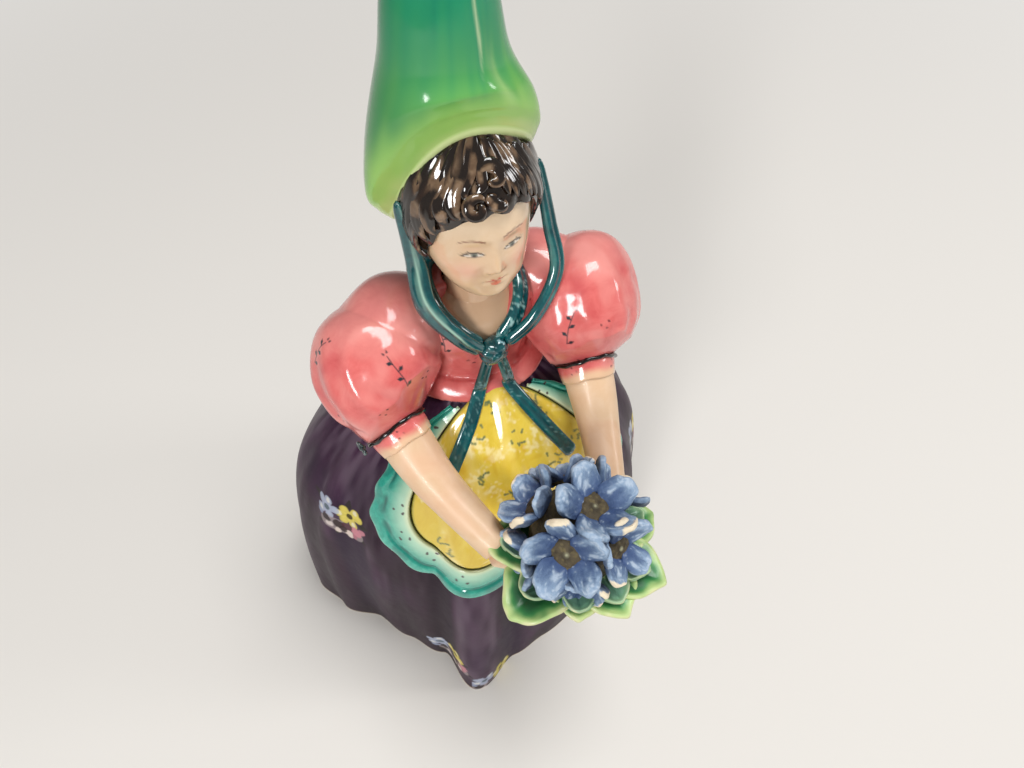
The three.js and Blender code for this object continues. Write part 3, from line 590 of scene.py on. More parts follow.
sky = bpy.data.worlds.new("sky")
sky.use_nodes = True
tree = sky.node_tree
tree.nodes.clear()
ray = node(tree, "LightPath")
plain = node(tree, "Background", {"Color": (1, 1, 1, 1), "Strength": 0.24})
white = node(tree, "Background", {"Color": (*pigment("#efedea"), 1), "Strength": 1.0})
seen = node(tree, "MixShader", {0: ray.outputs["Is Camera Ray"], 1: plain.outputs[0], 2: white.outputs[0]})
node(tree, "OutputWorld", {"Surface": seen.outputs[0]})
bpy.context.scene.world = sky

camera_turn = (math.radians(36), 0, math.radians(-22))
bpy.ops.object.camera_add(location=(-0.03232, -0.104507, 0.26), rotation=camera_turn)
camera = bpy.context.object
camera.data.sensor_width = 36
camera.data.lens = 26.54
bpy.context.scene.camera = camera
bpy.context.scene.view_settings.view_transform = "Standard"


# Skirt

def spread_and_height(share):
    """The way down the skirt as shares of its spread and of its height."""
    stops = np.array([(0, 1), (0.14, 0.955), (0.33, 0.89), (0.53, 0.815), (0.7, 0.72), (0.84, 0.6),
                      (0.93, 0.43), (0.98, 0.22), (1, 0)])
    share = np.clip(np.asarray(share, dtype=float), 0, 1) * (len(stops) - 1)
    i = np.minimum(share.astype(int), len(stops) - 2)
    t = (share - i)[..., None]
    a, b = stops[np.maximum(i - 1, 0)], stops[i]
    c, d = stops[i + 1], stops[np.minimum(i + 2, len(stops) - 1)]
    v0, v1 = (c - a) / 2, (d - b) / 2
    return (2 * b - 2 * c + v0 + v1) * t**3 + (3 * c - 3 * b - 2 * v0 - v1) * t**2 + v0 * t + b


# Folds of the hem: degrees from her front towards her right, and how far out or in the hem goes.
hem_folds = np.array([
    (-32, -5), (-12, -4), (4, -2), (20, 6), (36, -7), (54, -11), (70, -13), (84, -6), (97, 0), (110, 3),
    (128, -4), (146, 1), (163, -3), (182, 3), (200, -3), (218, 2), (235, -3), (254, 2), (272, -1),
    (290, -5), (308, 0), (328, -5), (348, -4),
])


def hem_fold(angle):
    degrees = (np.degrees(angle) + 12) % 360 - 12
    i = np.clip(np.searchsorted(hem_folds[:, 0], degrees, side="right") - 1, 0, len(hem_folds) - 2)
    share = (degrees - hem_folds[i, 0]) / (hem_folds[i + 1, 0] - hem_folds[i, 0])
    return hem_folds[i, 1] + (hem_folds[i + 1, 1] - hem_folds[i, 1]) * (1 - np.cos(math.pi * share)) / 2


def oval(angle, half_width, half_depth):
    return 1 / np.hypot(np.sin(angle) / half_width, np.cos(angle) / half_depth)


def on_skirt(angle, share, gathers=0.5):
    """Points of the skirt, by the angle from her front towards her right and the share of the way down."""
    angle, share = np.broadcast_arrays(np.asarray(angle, dtype=float), np.asarray(share, dtype=float))
    spread, height = np.moveaxis(spread_and_height(share), -1, 0)
    hem = oval(angle, hem_half_width, np.where(np.cos(angle) > 0, hem_front, hem_back))
    radius = oval(angle, waist_half_width, waist_half_depth) * (1 - spread) + hem * spread
    radius = radius + hem_fold(angle) * np.maximum(share, 0) ** 1.7
    swing = 0.25 * np.sin(5 * angle + 1) + 0.12 * np.sin(11 * angle)
    pleat = np.cos(18 * angle + swing * 3) * 0.75 + np.cos(31 * angle + 4 * swing) * 0.25
    radius = radius + gathers * pleat * np.sin(math.pi * np.minimum(1, share * 1.25 + 0.03))
    x = waist_shift * (1 - share) - radius * np.sin(angle)
    return np.stack([x, -radius * np.cos(angle), height * waist_height], axis=-1)


def over_skirt(angle, share, lift):
    """Points that lie above the crests of the skirt's gathers."""
    share, step = np.asarray(share, dtype=float), 0.02
    around = on_skirt(angle + step, share, 0) - on_skirt(angle - step, share, 0)
    down = on_skirt(angle, np.minimum(1, share + step), 0) - on_skirt(angle, np.maximum(0, share - step), 0)
    lift = np.asarray(lift, dtype=float)[..., None]
    return on_skirt(angle, share, 0) + unit(np.cross(around, down)) * (lift + 0.5)


def skirt_sheet(rings, steps, wall, depth):
    """A sheet from the hole at the waist to the hem, set in by the wall, its hole lower by the depth."""
    sheet, row, angle = spun(rings + 1, steps)
    angle = -angle
    share = np.linspace(0, 1, rings)[np.maximum(row - 1, 0)]
    inwards = np.stack([np.sin(angle), np.cos(angle), share - 1], axis=1)
    vent = np.stack([waist_shift - vent_radius * np.sin(angle), -vent_radius * np.cos(angle),
                     np.full(len(angle), waist_height - depth)], axis=1)
    move_corners(sheet, np.where((row == 0)[:, None], vent, on_skirt(angle, share) + inwards * wall))
    return sheet


def bridge_rims(skirt, low):
    """Joins the two open rims at the hem, or else at the hole of the waist."""
    with editing(skirt, "EDGE", "DESELECT") as mesh:
        mesh.select_non_manifold(extend=False, use_wire=False, use_boundary=True, use_multi_face=False,
                                 use_non_contiguous=False, use_verts=False)
    heights = corners(skirt)[:, 2]
    for edge in skirt.data.edges:
        if edge.select and (heights[edge.vertices[0]] < waist_height / 2) != low:
            edge.select = False
            for corner in edge.vertices:
                skirt.data.vertices[corner].select = False
    with editing(skirt, "EDGE", None) as mesh:
        mesh.bridge_edge_loops()


skirt_glaze = fired("glazed_purple_earthenware", [(0.3, "#291129"), (0.5, "#3b2039"), (0.72, "#52344e")],
                    9.0, 0.4, 0.03, wave=4.0, ripple=0.12, stretch=(1, 1, 0.35), shine=0.1)
# dark where the glaze pools between the folds, with painted shade there and towards the hem, and mauve where
# it has run thin on their crests, with painted highlight there and over the upper skirt

lining = skirt_sheet(24, 120, cast_wall, vent_depth)
turn_over(lining)
skirt = joined([skirt_sheet(118, 360, 0, 0), lining])
bridge_rims(skirt, low=True)
bridge_rims(skirt, low=False)

spray_spots = [
    (74.5, 0.6), (30, 0.93), (14, 0.985), (118, 0.9), (150, 0.62), (186, 0.88), (214, 0.6), (246, 0.9),
    (284, 0.66), (318, 0.93),
]
# where sprays are painted: degrees from her front towards her right, and share of the way down

spray_places = [on_skirt(math.radians(degrees), share) for degrees, share in spray_spots]
finer(skirt, spray_places, 11.5, 2)
art = Painting(skirt)
x, y, z = art.at.T
angle = np.arctan2(waist_shift * (z / waist_height) - x, -y)
outside = art.out[:, 0] * -np.sin(angle) - art.out[:, 1] * np.cos(angle) + art.out[:, 2] > 0
fold = hem_fold(angle)
beside_fold = np.mean([hem_fold(angle - 0.16), hem_fold(angle + 0.16)], axis=0)
crest = rise(fold - beside_fold, -0.6, 2.2) * fall(z, 40, 112)
streak = brush(angle * 26, z * 0.12, 3)
soft = grain(art.at * (1, 1, 0.5), 13.0, 5)
# mauve on the crests of the folds: glaze run thin there, and painted highlight
thin_and_lit = np.clip(crest * (0.1 + 0.8 * streak) * (0.35 + soft) + 0.3 * (streak - 0.55), 0, 0.8)
# dark in the hollows between the folds: glaze pooled there, and painted shade
pooled_and_shaded = np.clip(rise(beside_fold - fold, 0.0, 2.2) + 0.6 * fall(soft, 0.2, 0.42), 0, 1)
art.lay("#806c7e", thin_and_lit * outside)
# painted highlight: paler mauve bands over the upper skirt
art.lay("#7d6b7b", 0.6 * rise(0.6 * streak + 0.4 * soft, 0.42, 0.72) * rise(z, 40, 80) * outside)
# painted shade: darker in the hollows and towards the hem
art.lay("#22122a", 0.8 * pooled_and_shaded * fall(z, 60, 108) * outside)
art.lay("#e2d8c6", 0.95 * ~outside)
# painted shade: darker towards the hem, in soft clouds
art.lay("#1c0a15", 0.75 * fall(z, 60, 105) * rise(soft, 0.2, 0.6) * outside)
art.lay("#b9a58f", 0.9 * fall(z, 0.2, 0.9))
for number, place in enumerate(spray_places):
    art.motif(place, spray(number), turn=0.4 * math.sin(number * 2.1), size=1.65)
art.keep()
finished(skirt, "gathered_skirt", ["skirt"], skirt_glaze)


# Apron

# The apron's middle and how far it reaches down and up, as shares of the skirt, and to each side
apron_middle, apron_low, apron_high, apron_aside = 0.36, 0.218, 0.32, math.radians(46)


def on_apron(turn, share, lift):
    """Points over the apron: degrees round its middle from its lowest point, and share of the way out."""
    turn, share = np.broadcast_arrays(np.asarray(turn, dtype=float), np.asarray(share, dtype=float))
    side, down = np.sin(np.radians(turn)), np.cos(np.radians(turn))
    squarer = np.where(down > 0, 0.76, 1)
    angle = apron_aside * share * boxed(side, squarer)
    down = boxed(down, squarer)
    angle = angle + math.radians(5) * share * np.maximum(down, 0)
    reach = np.where(down > 0, apron_low * share, apron_high * np.minimum(share, 1))
    return over_skirt(angle, np.maximum(0.005, apron_middle + reach * down), lift)


def rounded(values, start):
    """1 up to the start, and round down from there to 0 at 1."""
    return np.sqrt(np.clip(1 - (np.maximum(0, values - start) / (1 - start)) ** 2, 0, 1))


def thickened(sheet, way, thickness):
    """Turns a sheet over if it doesn't face the way, and gives it thickness on its other side."""
    if (outward(sheet) @ way).mean() < 0:
        turn_over(sheet)
    modify(sheet, "SOLIDIFY", thickness=thickness, offset=-1.0)


apron_glaze = fired("glazed_yellow_earthenware", [(0.28, "#d6b43a"), (0.5, "#dfc247"), (0.75, "#e6ce5c")],
                    5.0, 0.12, 0.5, wave=3.0, ripple=0.1, stretch=(1, 1, 0.3))
# a warm yellow brushed on in upright strokes, paler where the white body shows through
frill_glaze = fired("glazed_turquoise_earthenware", [(0.3, "#1f8f7d"), (0.5, "#2ba08c"), (0.75, "#4db8a0")],
                    3.0, 0.12, 0.6, wave=2.0, ripple=0.08)
# turquoise that floods the frill's outer edge and thins to mint beside the panel

to_front, apron_thickness = (0, -1, 0), 0.9
panel_share, frill_start, frill_end = 0.985, 0.993, 1.34
panel = ringed_disc(56, 176)
x, y, _ = corners(panel).T
share = np.hypot(x, y)
folds = 0.38 * np.cos(x * 12 + 0.9 * np.sin(y * 3)) + 0.15 * np.cos(x * 21 + 1)
lift = 0.85 + 0.5 * rounded(share, 0.93) + folds * fall(share, 0.7, 0.98)
move_corners(panel, on_apron(np.degrees(np.arctan2(x, -y)), share * panel_share, lift))
thickened(panel, to_front, apron_thickness)
marks = [
    (10, 0.7), (48, 0.5), (80, 0.66), (-30, 0.45), (-58, 0.75), (-90, 0.5), (-120, 0.66), (-155, 0.4),
    (172, 0.7), (142, 0.62), (110, 0.38), (-15, 0.88), (35, 0.88), (-92, 0.84), (98, 0.88), (-140, 0.8),
    (0, 0.2),
]
# where marks are painted: degrees round the apron's middle, and share of the way out
mark_places = [on_apron(turn, share, 1.35) for turn, share in marks]
finer(panel, mark_places, 4.2, 1)
art = Painting(panel)
tall = grain(art.at * (1, 1, 0.4), 2.6, 1)
fine = grain(art.at, 0.7, 2)
outline = [on_apron(turn, panel_share, 0.6) for turn in np.linspace(-180, 180, 180)]
rim = np.min([np.linalg.norm(art.at - point, axis=1) for point in outline], axis=0)
art.lay("#f3de84", 0.6 * rise(np.cos((art.at[:, 0] - 3) * 0.62) + tall, 0.9, 1.9))
art.lay("#f3e7b4", 0.65 * rise(tall * 0.6 + fine * 0.4, 0.56, 0.78))
art.lay("#d3a52a", 0.45 * rise(grain(art.at * (1, 1, 0.2), 2.0, 9), 0.68, 0.85))
art.lay("#8c8f3a", 0.85 * fall(rim, 0.55, 1.15))
for number, place in enumerate(mark_places):
    art.motif(place, squiggles(number), reach=3.5, size=1.4)
art.keep()
finished(panel, "apron_front", ["apron_panel"], apron_glaze)

frill = added(bpy.ops.mesh.primitive_grid_add, x_subdivisions=520, y_subdivisions=30, size=2)
x, y, _ = corners(frill).T
out = (y + 1) / 2
scallop = 0.8 * np.cos(math.pi * 17 * x + 1.6 * np.sin(x * 9)) + 0.4 * np.sin(x * 31)
share = frill_start + (frill_end * (1 + 0.008 * scallop) - frill_start) * out
lift = 0.75 + 0.85 * rounded(np.abs(out * 2 - 1), 0.86) + (0.25 * scallop + 0.15) * out**2
lift += 0.15 * hump(out, 0.8, 0.1) - 0.45 * hump(out, 0.66, 0.07)
move_corners(frill, on_apron(x * 140, share, lift))
note(frill, "out", out)
thickened(frill, to_front, apron_thickness)
dot_turns = [-128, -104, -82, -60, -40, -22, -4, 14, 32, 52, 74, 97, 120]
dot_places = [on_apron(turn, 1.08 + 0.035 * (i % 2), 1.5) for i, turn in enumerate(dot_turns)]
finer(frill, dot_places, 2.8, 1)
art = Painting(frill)
out = noted(frill, "out")
cloud = grain(art.at, 3.5, 4)
art.lay("#bfe0c4", fall(out, 0.12, 0.66) * (0.7 + 0.3 * cloud))
art.lay("#e2e9c0", 0.8 * fall(out, 0.02, 0.2))
art.lay("#0d5049", 0.9 * hump(out, 0.66, 0.045) * rise(cloud, 0.2, 0.6))
art.lay("#14766a", 0.6 * rise(grain(art.at, 2.2, 6), 0.5, 0.7) * rise(out, 0.45, 0.7))
art.lay("#7cc4ae", 0.55 * rise(out, 0.88, 0.97) * rise(cloud, 0.3, 0.7))
art.lay("#7f8440", 0.85 * fall(out, 0.01, 0.05))
for number, place in enumerate(dot_places):
    art.motif(place, dots(number), turn=number * 1.3, reach=3.5, size=1.4)
art.keep()
finished(frill, "apron_edging", ["apron_frill"], frill_glaze)


# Blouse

blouse_glaze = fired("glazed_rose_earthenware", [(0.3, "#cf5c5a"), (0.5, "#db6e6a"), (0.72, "#e2807a")],
                     6.0, 0.16, 0.28, wave=3.5, ripple=0.12, shine=0.35)
# rose pink, deeper where the glaze has run into the folds and paler on the crests
skin_glaze = fired("glazed_flesh_earthenware", [(0.25, "#d9b590"), (0.5, "#dfbf9a"), (0.8, "#e5caaa")],
                   7.0, 0.12, 0.6, wave=4.0, ripple=0.04)
# the cream body under a thin, clear glaze, a little warmer where the glaze is thick
bare_skin = fired("satin_flesh_earthenware", [(0.25, "#d8b28e"), (0.5, "#debd9a"), (0.8, "#e5c9ac")],
                  7.0, 0.36, 0.05, wave=4.0, ripple=0.04, shine=0.35)
# the same cream body on her arms and hands, where the glaze is thinner and hardly shines
cord_glaze = fired("glazed_slate_earthenware", [(0.3, "#203033"), (0.5, "#2e4142"), (0.75, "#55686a")],
                   1.2, 0.15, 0.5)
# a dark grey-green line brushed along the gathering cord, worn thin on its crest


def clouded(art, deep, pale, seed):
    """Deep and pale colour in soft clouds."""
    cloud = grain(art.at, 6.5, seed) * 0.7 + grain(art.at, 2.4, seed + 1) * 0.3
    art.lay(deep, 0.45 * fall(cloud, 0.2, 0.45))
    art.lay(pale, 0.4 * rise(cloud, 0.5, 0.75))


# The bodice spreads over the skirt's gathers at the waist.
# Its foot is a ring with this section: share of the way down, and height over the skirt.
foot = np.array([(0.0, -1.2), (0.0, 1.2), (0.03, 1.3), (0.06, 1.25), (0.09, 1.0), (0.105, 0.5), (0.1, 0.0),
                 (0.05, -0.8)])
foot_steps = 120
foot_ring = added(bpy.ops.mesh.primitive_torus_add, major_segments=foot_steps, minor_segments=len(foot))
number = np.arange(foot_steps * len(foot))
angle = math.tau * (number // len(foot)) / foot_steps
move_corners(foot_ring, over_skirt(angle, *foot[number % len(foot)].T))
face_out(foot_ring)
bodice = joined([cast_from("bodice"), foot_ring])
recast(bodice, 0.5, 10)
at = corners(bodice)
move_corners(bodice, at + outward(bodice) * (0.5 * (grain(at, 5.0, 4) - 0.5))[:, None])
bodice_twigs = [((-10.2, -9.8, 17.1), (0.7, 0, 1), 0.5), ((-7, 11, 12), UP, 0.3), ((7, 11, 15), UP, -0.3),
                ((0, 11.5, 6), UP, 0.1)]
finer(bodice, [body + Vector(place) for place, _, _ in bodice_twigs], 5.5, 1)
art = Painting(bodice)
clouded(art, "#c94f55", "#f0a098", 2)
for number, (place, up, turn) in enumerate(bodice_twigs):
    art.motif(body + Vector(place), sprig(number + 20, 9), up, turn)
for number, place in enumerate(((8.4, -12.4, 12), (-4, -12, 8), (-2, 11.5, 16), (12, -6, 18))):
    art.motif(body + Vector(place), dots(number + 5), reach=3)
art.keep()
finished(bodice, "bodice_cloth", ["bodice"], blouse_glaze)


# Sleeves and arms

def sleeve_centre(side):
    return body + Vector((side * 25.2, -6.5, 11.4 if side > 0 else 10))


def wrist(side):
    return posy + Vector((-16.5, 5, -5.5) if side < 0 else (13.5, 10, -5.5))


def cuff_centre(side):
    ahead = (wrist(side) - sleeve_centre(side)).normalized() - Vector((0.24 * (side < 0), 0, 0.45))
    return sleeve_centre(side) + ahead.normalized() * cuff_far


def arm_way(side, count):
    start, end = cuff_centre(side), wrist(side)
    elbow = start.lerp(end, 0.4) + Vector((side * 0.8, 0, -2))
    return way_through([start, elbow, end], count)


def arm_start(side):
    """The direction of the arm where it leaves the sleeve."""
    way = arm_way(side, 60)
    return Vector(way[1] - way[0]).normalized()


def along_arm(piece, side):
    """Moves a piece made round the upright axis to the arm's start, so that up becomes along the arm."""
    turn = UP.rotation_difference(arm_start(side))
    piece.matrix_world = Matrix.LocRotScale(cuff_centre(side), turn, None)
    settle(piece)


def turned_from(way, middle):
    """The angles of directions from a middle one."""
    return np.arccos(np.clip(way @ unit(middle), -1, 1))


def ring_fold(way, middle, radius, breadth, height, gap):
    """How high a raised ring stands at directions, round a middle. It is open at the side of gap."""
    turned = turned_from(way, middle)
    ridge = hump(turned, radius, breadth) - 0.7 * hump(turned, radius - 1.7 * breadth, breadth)
    return height * ridge * fall(way @ unit(gap), -0.1, 0.55)


shoulder_puffs = {1: ((-8.6, 8.8, 6.6), 9.5, 5.0), -1: ((8.2, 7.25, 6.15), 10.6, 9.0)}
# the smaller puff of each sleeve: its middle from the sleeve's middle, its radius, and how softly it joins


def puffed_sleeve(side):
    """A full sleeve with soft folds, drawn in at its cord, with a smaller puff towards the shoulder."""
    piece = unit_ball(168, 84)
    x, y, z = corners(piece).T
    swell = np.sqrt(np.maximum(0, 1 - z**2))
    roll = np.arctan2(y, x)
    folds = 0.8 * np.cos(7 * roll + 1.6 * np.sin(2 * roll) + side) + 0.3 * np.cos(12 * roll)
    gathers = np.cos(15 * roll + np.sin(3 * roll))
    radius = sleeve_radius - 0.45 * folds * swell**2 - 0.5 * gathers * fall(z, -0.9, -0.45)
    radius *= swell**0.85
    shaped = np.stack([radius * np.cos(roll), radius * np.sin(roll), sleeve_half_height * z], axis=1)
    ahead = np.array(arm_start(side))
    axis = (Vector(-ahead) + 0.6 * UP).normalized()
    shaped = shaped @ np.array(UP.rotation_difference(axis).to_matrix()).T
    way, length = unit(shaped), np.linalg.norm(shaped, axis=1)
    puff, puff_radius, soft = shoulder_puffs[side]
    toward = way @ puff
    reach = toward**2 - np.dot(puff, puff) + puff_radius**2
    far = np.where(reach > 0, toward + np.sqrt(np.maximum(reach, 0)), 0)
    blend = np.clip(0.5 + 0.5 * (far - length) / soft, 0, 1)
    length = length * (1 - blend) + far * blend + 0.85 * soft * blend * (1 - blend)
    if side > 0:
        length += ring_fold(way, (-0.01, -0.92, 0.39), 0.36, 0.09, 0.55, (-0.6, 0, 0.8))
        length += 1.2 * hump(turned_from(way, (0.6, 0.3, 0.75)), 0, 0.45)
    else:
        length += ring_fold(way, (0.2, -0.68, 0.71), 0.75, 0.13, 0.5, (0.7, 0.5, 0.2))
    length += 1.1 * (grain(way * 10, 6.0, 5 + side) - 0.5) + 0.5 * (grain(way * 10, 3.0, 8 + side) - 0.5)
    middle, opening = np.array(sleeve_centre(side)), np.array(cuff_centre(side))
    points = middle + way * length[:, None]
    along = (points - opening) @ ahead
    gap = np.linalg.norm(points - opening - along[:, None] * ahead, axis=1)
    pull = rise(way @ unit(opening - middle), math.cos(0.75), math.cos(0.5))
    beyond = np.maximum(0, gap - 7.2)
    drawn_in = along + pull * (-0.35 - 0.9 * (beyond / 3.4) ** 1.5 - along)
    drawn_in = np.minimum(drawn_in, -0.35 - 0.55 * beyond)
    move_corners(piece, points + (drawn_in - along)[:, None] * ahead)
    return piece


sleeve_twigs = {
    "right": [((0.2, -0.68, 0.71), 0.15, 10), ((-0.71, 0.04, 0.71), -0.1, 8), ((-0.3, 0.9, 0.3), 0.2, 9)],
    "left": [((-0.52, -0.75, 0.41), -0.1, 10), ((0.32, 0.6, 0.73), 0.2, 6), ((0.6, 0.7, 0.1), -0.2, 9)],
}
sleeve_dots = {
    "right": [(0.45, 0.4, 0.8), (-0.76, -0.62, -0.18), (-0.14, -0.98, 0.11), (0.65, -0.7, 0.25),
              (0.2, 0.9, 0.4)],
    "left": [(-0.01, -0.92, 0.39), (-0.3, -0.8, -0.4), (-0.8, -0.3, 0.5), (0.2, 0.9, 0.4)],
}
# where twigs, with their turns and lengths, and dots are painted: directions from a sleeve's middle


def make_sleeve(name, side):
    sleeve, centre = puffed_sleeve(side), sleeve_centre(side)
    spots = [centre + Vector(way).normalized() * 14.4 for way in sleeve_dots[name]]
    twigs = [(centre + Vector(way).normalized() * 14.6, turn, long)
             for way, turn, long in sleeve_twigs[name]]
    finer(sleeve, [place for place, _, _ in twigs], 5.8, 2)
    finer(sleeve, spots, 2.2, 1)
    art = Painting(sleeve)
    far = np.linalg.norm(art.at - np.array(centre), axis=1)
    clouded(art, "#c54f54", "#ea9a91", 7 + side)
    art.lay("#c4474f", 0.5 * fall(far, 12.6, 13.9) * rise(art.out @ np.array(arm_start(side)), -0.3, 0.4))
    art.lay("#efaaa0", 0.35 * rise(far, 14.5, 15.7))
    for number, (place, turn, long) in enumerate(twigs):
        art.motif(place, sprig(number + 40 + side, long), turn=turn)
    for number, place in enumerate(spots):
        art.motif(place, dots(number + side + 60), reach=3, size=0.9)
    art.keep()
    finished(sleeve, f"{name}_puffed_sleeve", [f"{name}_sleeve"], blouse_glaze)


def make_sleeve_band(name, side):
    cord = added(bpy.ops.mesh.primitive_torus_add, major_segments=96, minor_segments=14,
                 major_radius=cord_radius, minor_radius=0.5)
    at = corners(cord)
    roll = np.arctan2(at[:, 1], at[:, 0])
    at[:, 2] += 0.3 * np.sin(3 * roll + side) + 0.12 * np.sin(11 * roll)
    at[:, :2] *= (1 + 0.014 * np.sin(7 * roll + 1))[:, None]
    move_corners(cord, at)
    along_arm(cord, side)
    finished(cord, f"{name}_gathering_cord", [f"{name}_sleeve_band"], cord_glaze)


def make_cuff(name, side):
    section = [(6.0, 0.2), (6.9, 0.2), (7.05, 1.0), (6.9, 2.4), (6.68, 3.6), (6.5, 4.4), (6.38, 4.52),
               (6.0, 4.4), (6.0, 0.2)]
    cuff = lathe(flat_way(section, 40).tolist(), 120)
    at = corners(cuff)
    roll = np.arctan2(at[:, 1], at[:, 0])
    ruffle = 0.08 * np.cos(9 * roll + np.sin(2 * roll)) * rise(at[:, 2], 0.5, 3.5)
    at[:, :2] *= (1 + ruffle / 7)[:, None]
    at[:, 2] += 0.16 * np.cos(5 * roll + side) * rise(at[:, 2], 2.0, 4.2)
    move_corners(cuff, at)
    along_arm(cuff, side)
    art = Painting(cuff)
    centre, ahead = cuff_centre(side), arm_start(side)
    down = (art.at - np.array(centre)) @ np.array(ahead)
    clouded(art, "#cf585b", "#f2a79c", 4 + side)
    art.lay("#e2bd99", 0.97 * rise(down + 1.4 * (grain(art.at, 3.0, 2) - 0.5), 1.6, 4.0))
    for number, turn in enumerate((0.6, 2.2, 3.9, 5.2)):
        spoke = UP.rotation_difference(ahead) @ Vector((math.cos(turn), math.sin(turn), 0))
        art.motif(centre + spoke * 7.0 + ahead * 1.8, dots(number + 80), ahead, reach=2.5, size=0.8)
    art.keep()
    finished(cuff, f"{name}_cuff_frill", [f"{name}_cuff"], blouse_glaze)


def make_arm(name, side):
    stops = 70
    share = np.linspace(0, 1, stops)
    girth = 6.3 + (4.0 - 6.3) * share**1.1 + 0.2 * np.sin(math.pi * np.clip(share * 1.6, 0, 1))
    arm = swept(arm_way(side, stops), UP, girth, girth * 0.97, around=40, ends=0.02)
    art = Painting(arm)
    # painted shade: warmer and darker where the arm faces down
    art.lay("#dcae8c", 0.35 * rise(-art.out[:, 2], 0.1, 0.9))
    art.lay("#e6b494", 0.3 * rise(grain(art.at, 6.0, 3), 0.5, 0.8))
    art.keep()
    finished(arm, f"{name}_forearm", [f"{name}_arm"], bare_skin)


def make_hand(name, side):
    """A hand cupped below the posy: a palm, four fingers, a thumb and the way from the wrist."""
    start = wrist(side)
    ahead = (posy + Vector((side * 3, 0, -13.4)) - start).normalized()
    middle = start + ahead * 6
    across = beside(Vector((0, 1, 0)), ahead)
    below = across.cross(ahead) if across.cross(ahead).z < 0 else -across.cross(ahead)
    parts = [ball(middle, (7.2, 5.1, 2.4), turn=Vector((1, 0, 0)).rotation_difference(ahead))]
    knuckles = spread_over([1.3, 1.35, 1.42, 1.3, 1.25, 1.22, 1.3, 1.22, 1.1, 1.0, 0.9, 0.8], 30)
    for finger in range(4):
        root = middle + across * (finger - 1.5) * 2.63 + ahead * 3
        tip = root + ahead * (10 - abs(finger - 1.6)) + UP
        way = way_through([root - ahead * 3, root, root.lerp(tip, 0.5) + below * 0.8, tip], 30)
        parts.append(swept(way, -below, knuckles, knuckles, ends=0.1))
    thumb = [middle + across * aside + ahead * on - below * up
             for aside, on, up in ((-3.6, -1.5, 0), (-5.4, 1.5, 0.6), (-5.6, 5, 1))]
    thumb = way_through(thumb, 24)
    parts.append(swept(thumb, -below, np.linspace(1.6, 1.1, 24), np.linspace(1.5, 1.0, 24), ends=0.2))
    parts.append(swept(straight(start, middle, 20, -0.3, 0.9), -below, np.linspace(4.1, 4.7, 20),
                       np.linspace(4.1, 2.5, 20), 24, ends=0.1))
    hand = joined(parts)
    recast(hand, 0.32, 4, 0.5)
    art = Painting(hand)
    art.lay("#dba384", 0.35 * rise(grain(art.at, 3, 8), 0.5, 0.8))
    art.keep()
    finished(hand, f"{name}_cupped_hand", [f"{name}_hand"], bare_skin)


for name, side in sides.items():
    for make in (make_sleeve, make_sleeve_band, make_cuff, make_arm, make_hand):
        make(name, side)


# Head

def evened(values, table, spread):
    """A table's columns, looked up by values of its first column and evened out over a spread."""
    levels, *columns = np.array(table, dtype=float).T
    spots = values + np.linspace(-spread, spread, 9)[:, None]
    return [np.interp(spots, levels, column).mean(axis=0) for column in columns]


def turned_with_head(piece):
    """Turns a piece with the head, about the upright line through its middle."""
    turn = Matrix.Translation(head) @ Matrix.Rotation(head_turn, 4, "Z") @ Matrix.Translation(-head)
    piece.data.transform(turn)
    return piece


hair_glaze = fired("glazed_umber_earthenware", [(0.3, "#6b5440"), (0.5, "#8a6f56"), (0.75, "#a58c72")],
                   1.6, 0.09, 0.6, wave=1.4, ripple=0.06)
# thick brown-black strokes that shine, over a thin wash that lets the tan body through

# The head's levels from the chin up: shares of its half width and half depth, and how far forward it sits.
head_levels = [
    (-1, 0.95, 0.77, 8.4), (-0.95, 0.96, 0.77, 8.4), (-0.8, 0.97, 0.78, 6.3), (-0.5, 0.97, 0.855, 3.2),
    (-0.1, 0.995, 0.975, 0.6), (0.3, 1.03, 1.03, 0), (0.65, 1.06, 1.07, -0.3), (1, 1.08, 1.08, -0.5),
]
# Mounds and hollows of the face, on both sides: place aside and up, reach aside and up, and height.
mounds = [
    (4.1, -0.6, 2.6, 1.7, -0.75), (3.6, 2.4, 3.2, 1.0, 0.22), (1.35, -5.9, 0.7, 0.65, 0.5),
    (0.8, -8.5, 1.3, 0.5, 0.36), (2.2, -9.1, 0.5, 0.5, -0.2), (5.6, -5.2, 2.6, 2.6, 0.45),
    (4.1, -0.95, 1.7, 1.0, 0.5), (4.1, -0.1, 2.1, 0.45, 0.16), (0, -1.5, 1.2, 2.6, 0.55),
    (0, -4.3, 1.35, 1.8, 1.2), (0, -5.3, 1.35, 1.0, 0.8), (0, -7.2, 0.9, 0.6, -0.15),
    (0, -9.7, 1.5, 0.55, 0.48), (0, -9.1, 2.0, 0.25, -0.3), (0, -12.6, 2.8, 1.8, 0.5),
    (6.8, -9.0, 3.0, 3.0, 0.7),
]
face = unit_ball(224, 140)
x, y, z = corners(face).T
wide, deep, ahead = evened(z, head_levels, 0.1)
front = rise(-y, 0.05, 0.5)
x, y, z = x * head_half.x * wide, y * head_half.y * deep - ahead, z * head_half.z
for x0, z0, reach_x, reach_z, height in mounds:
    for middle in {x0, -x0}:
        y -= front * height * hump(x, middle, reach_x) * hump(z, z0, reach_z)
move_corners(face, np.stack([x, y, z], axis=1) + np.array(head))

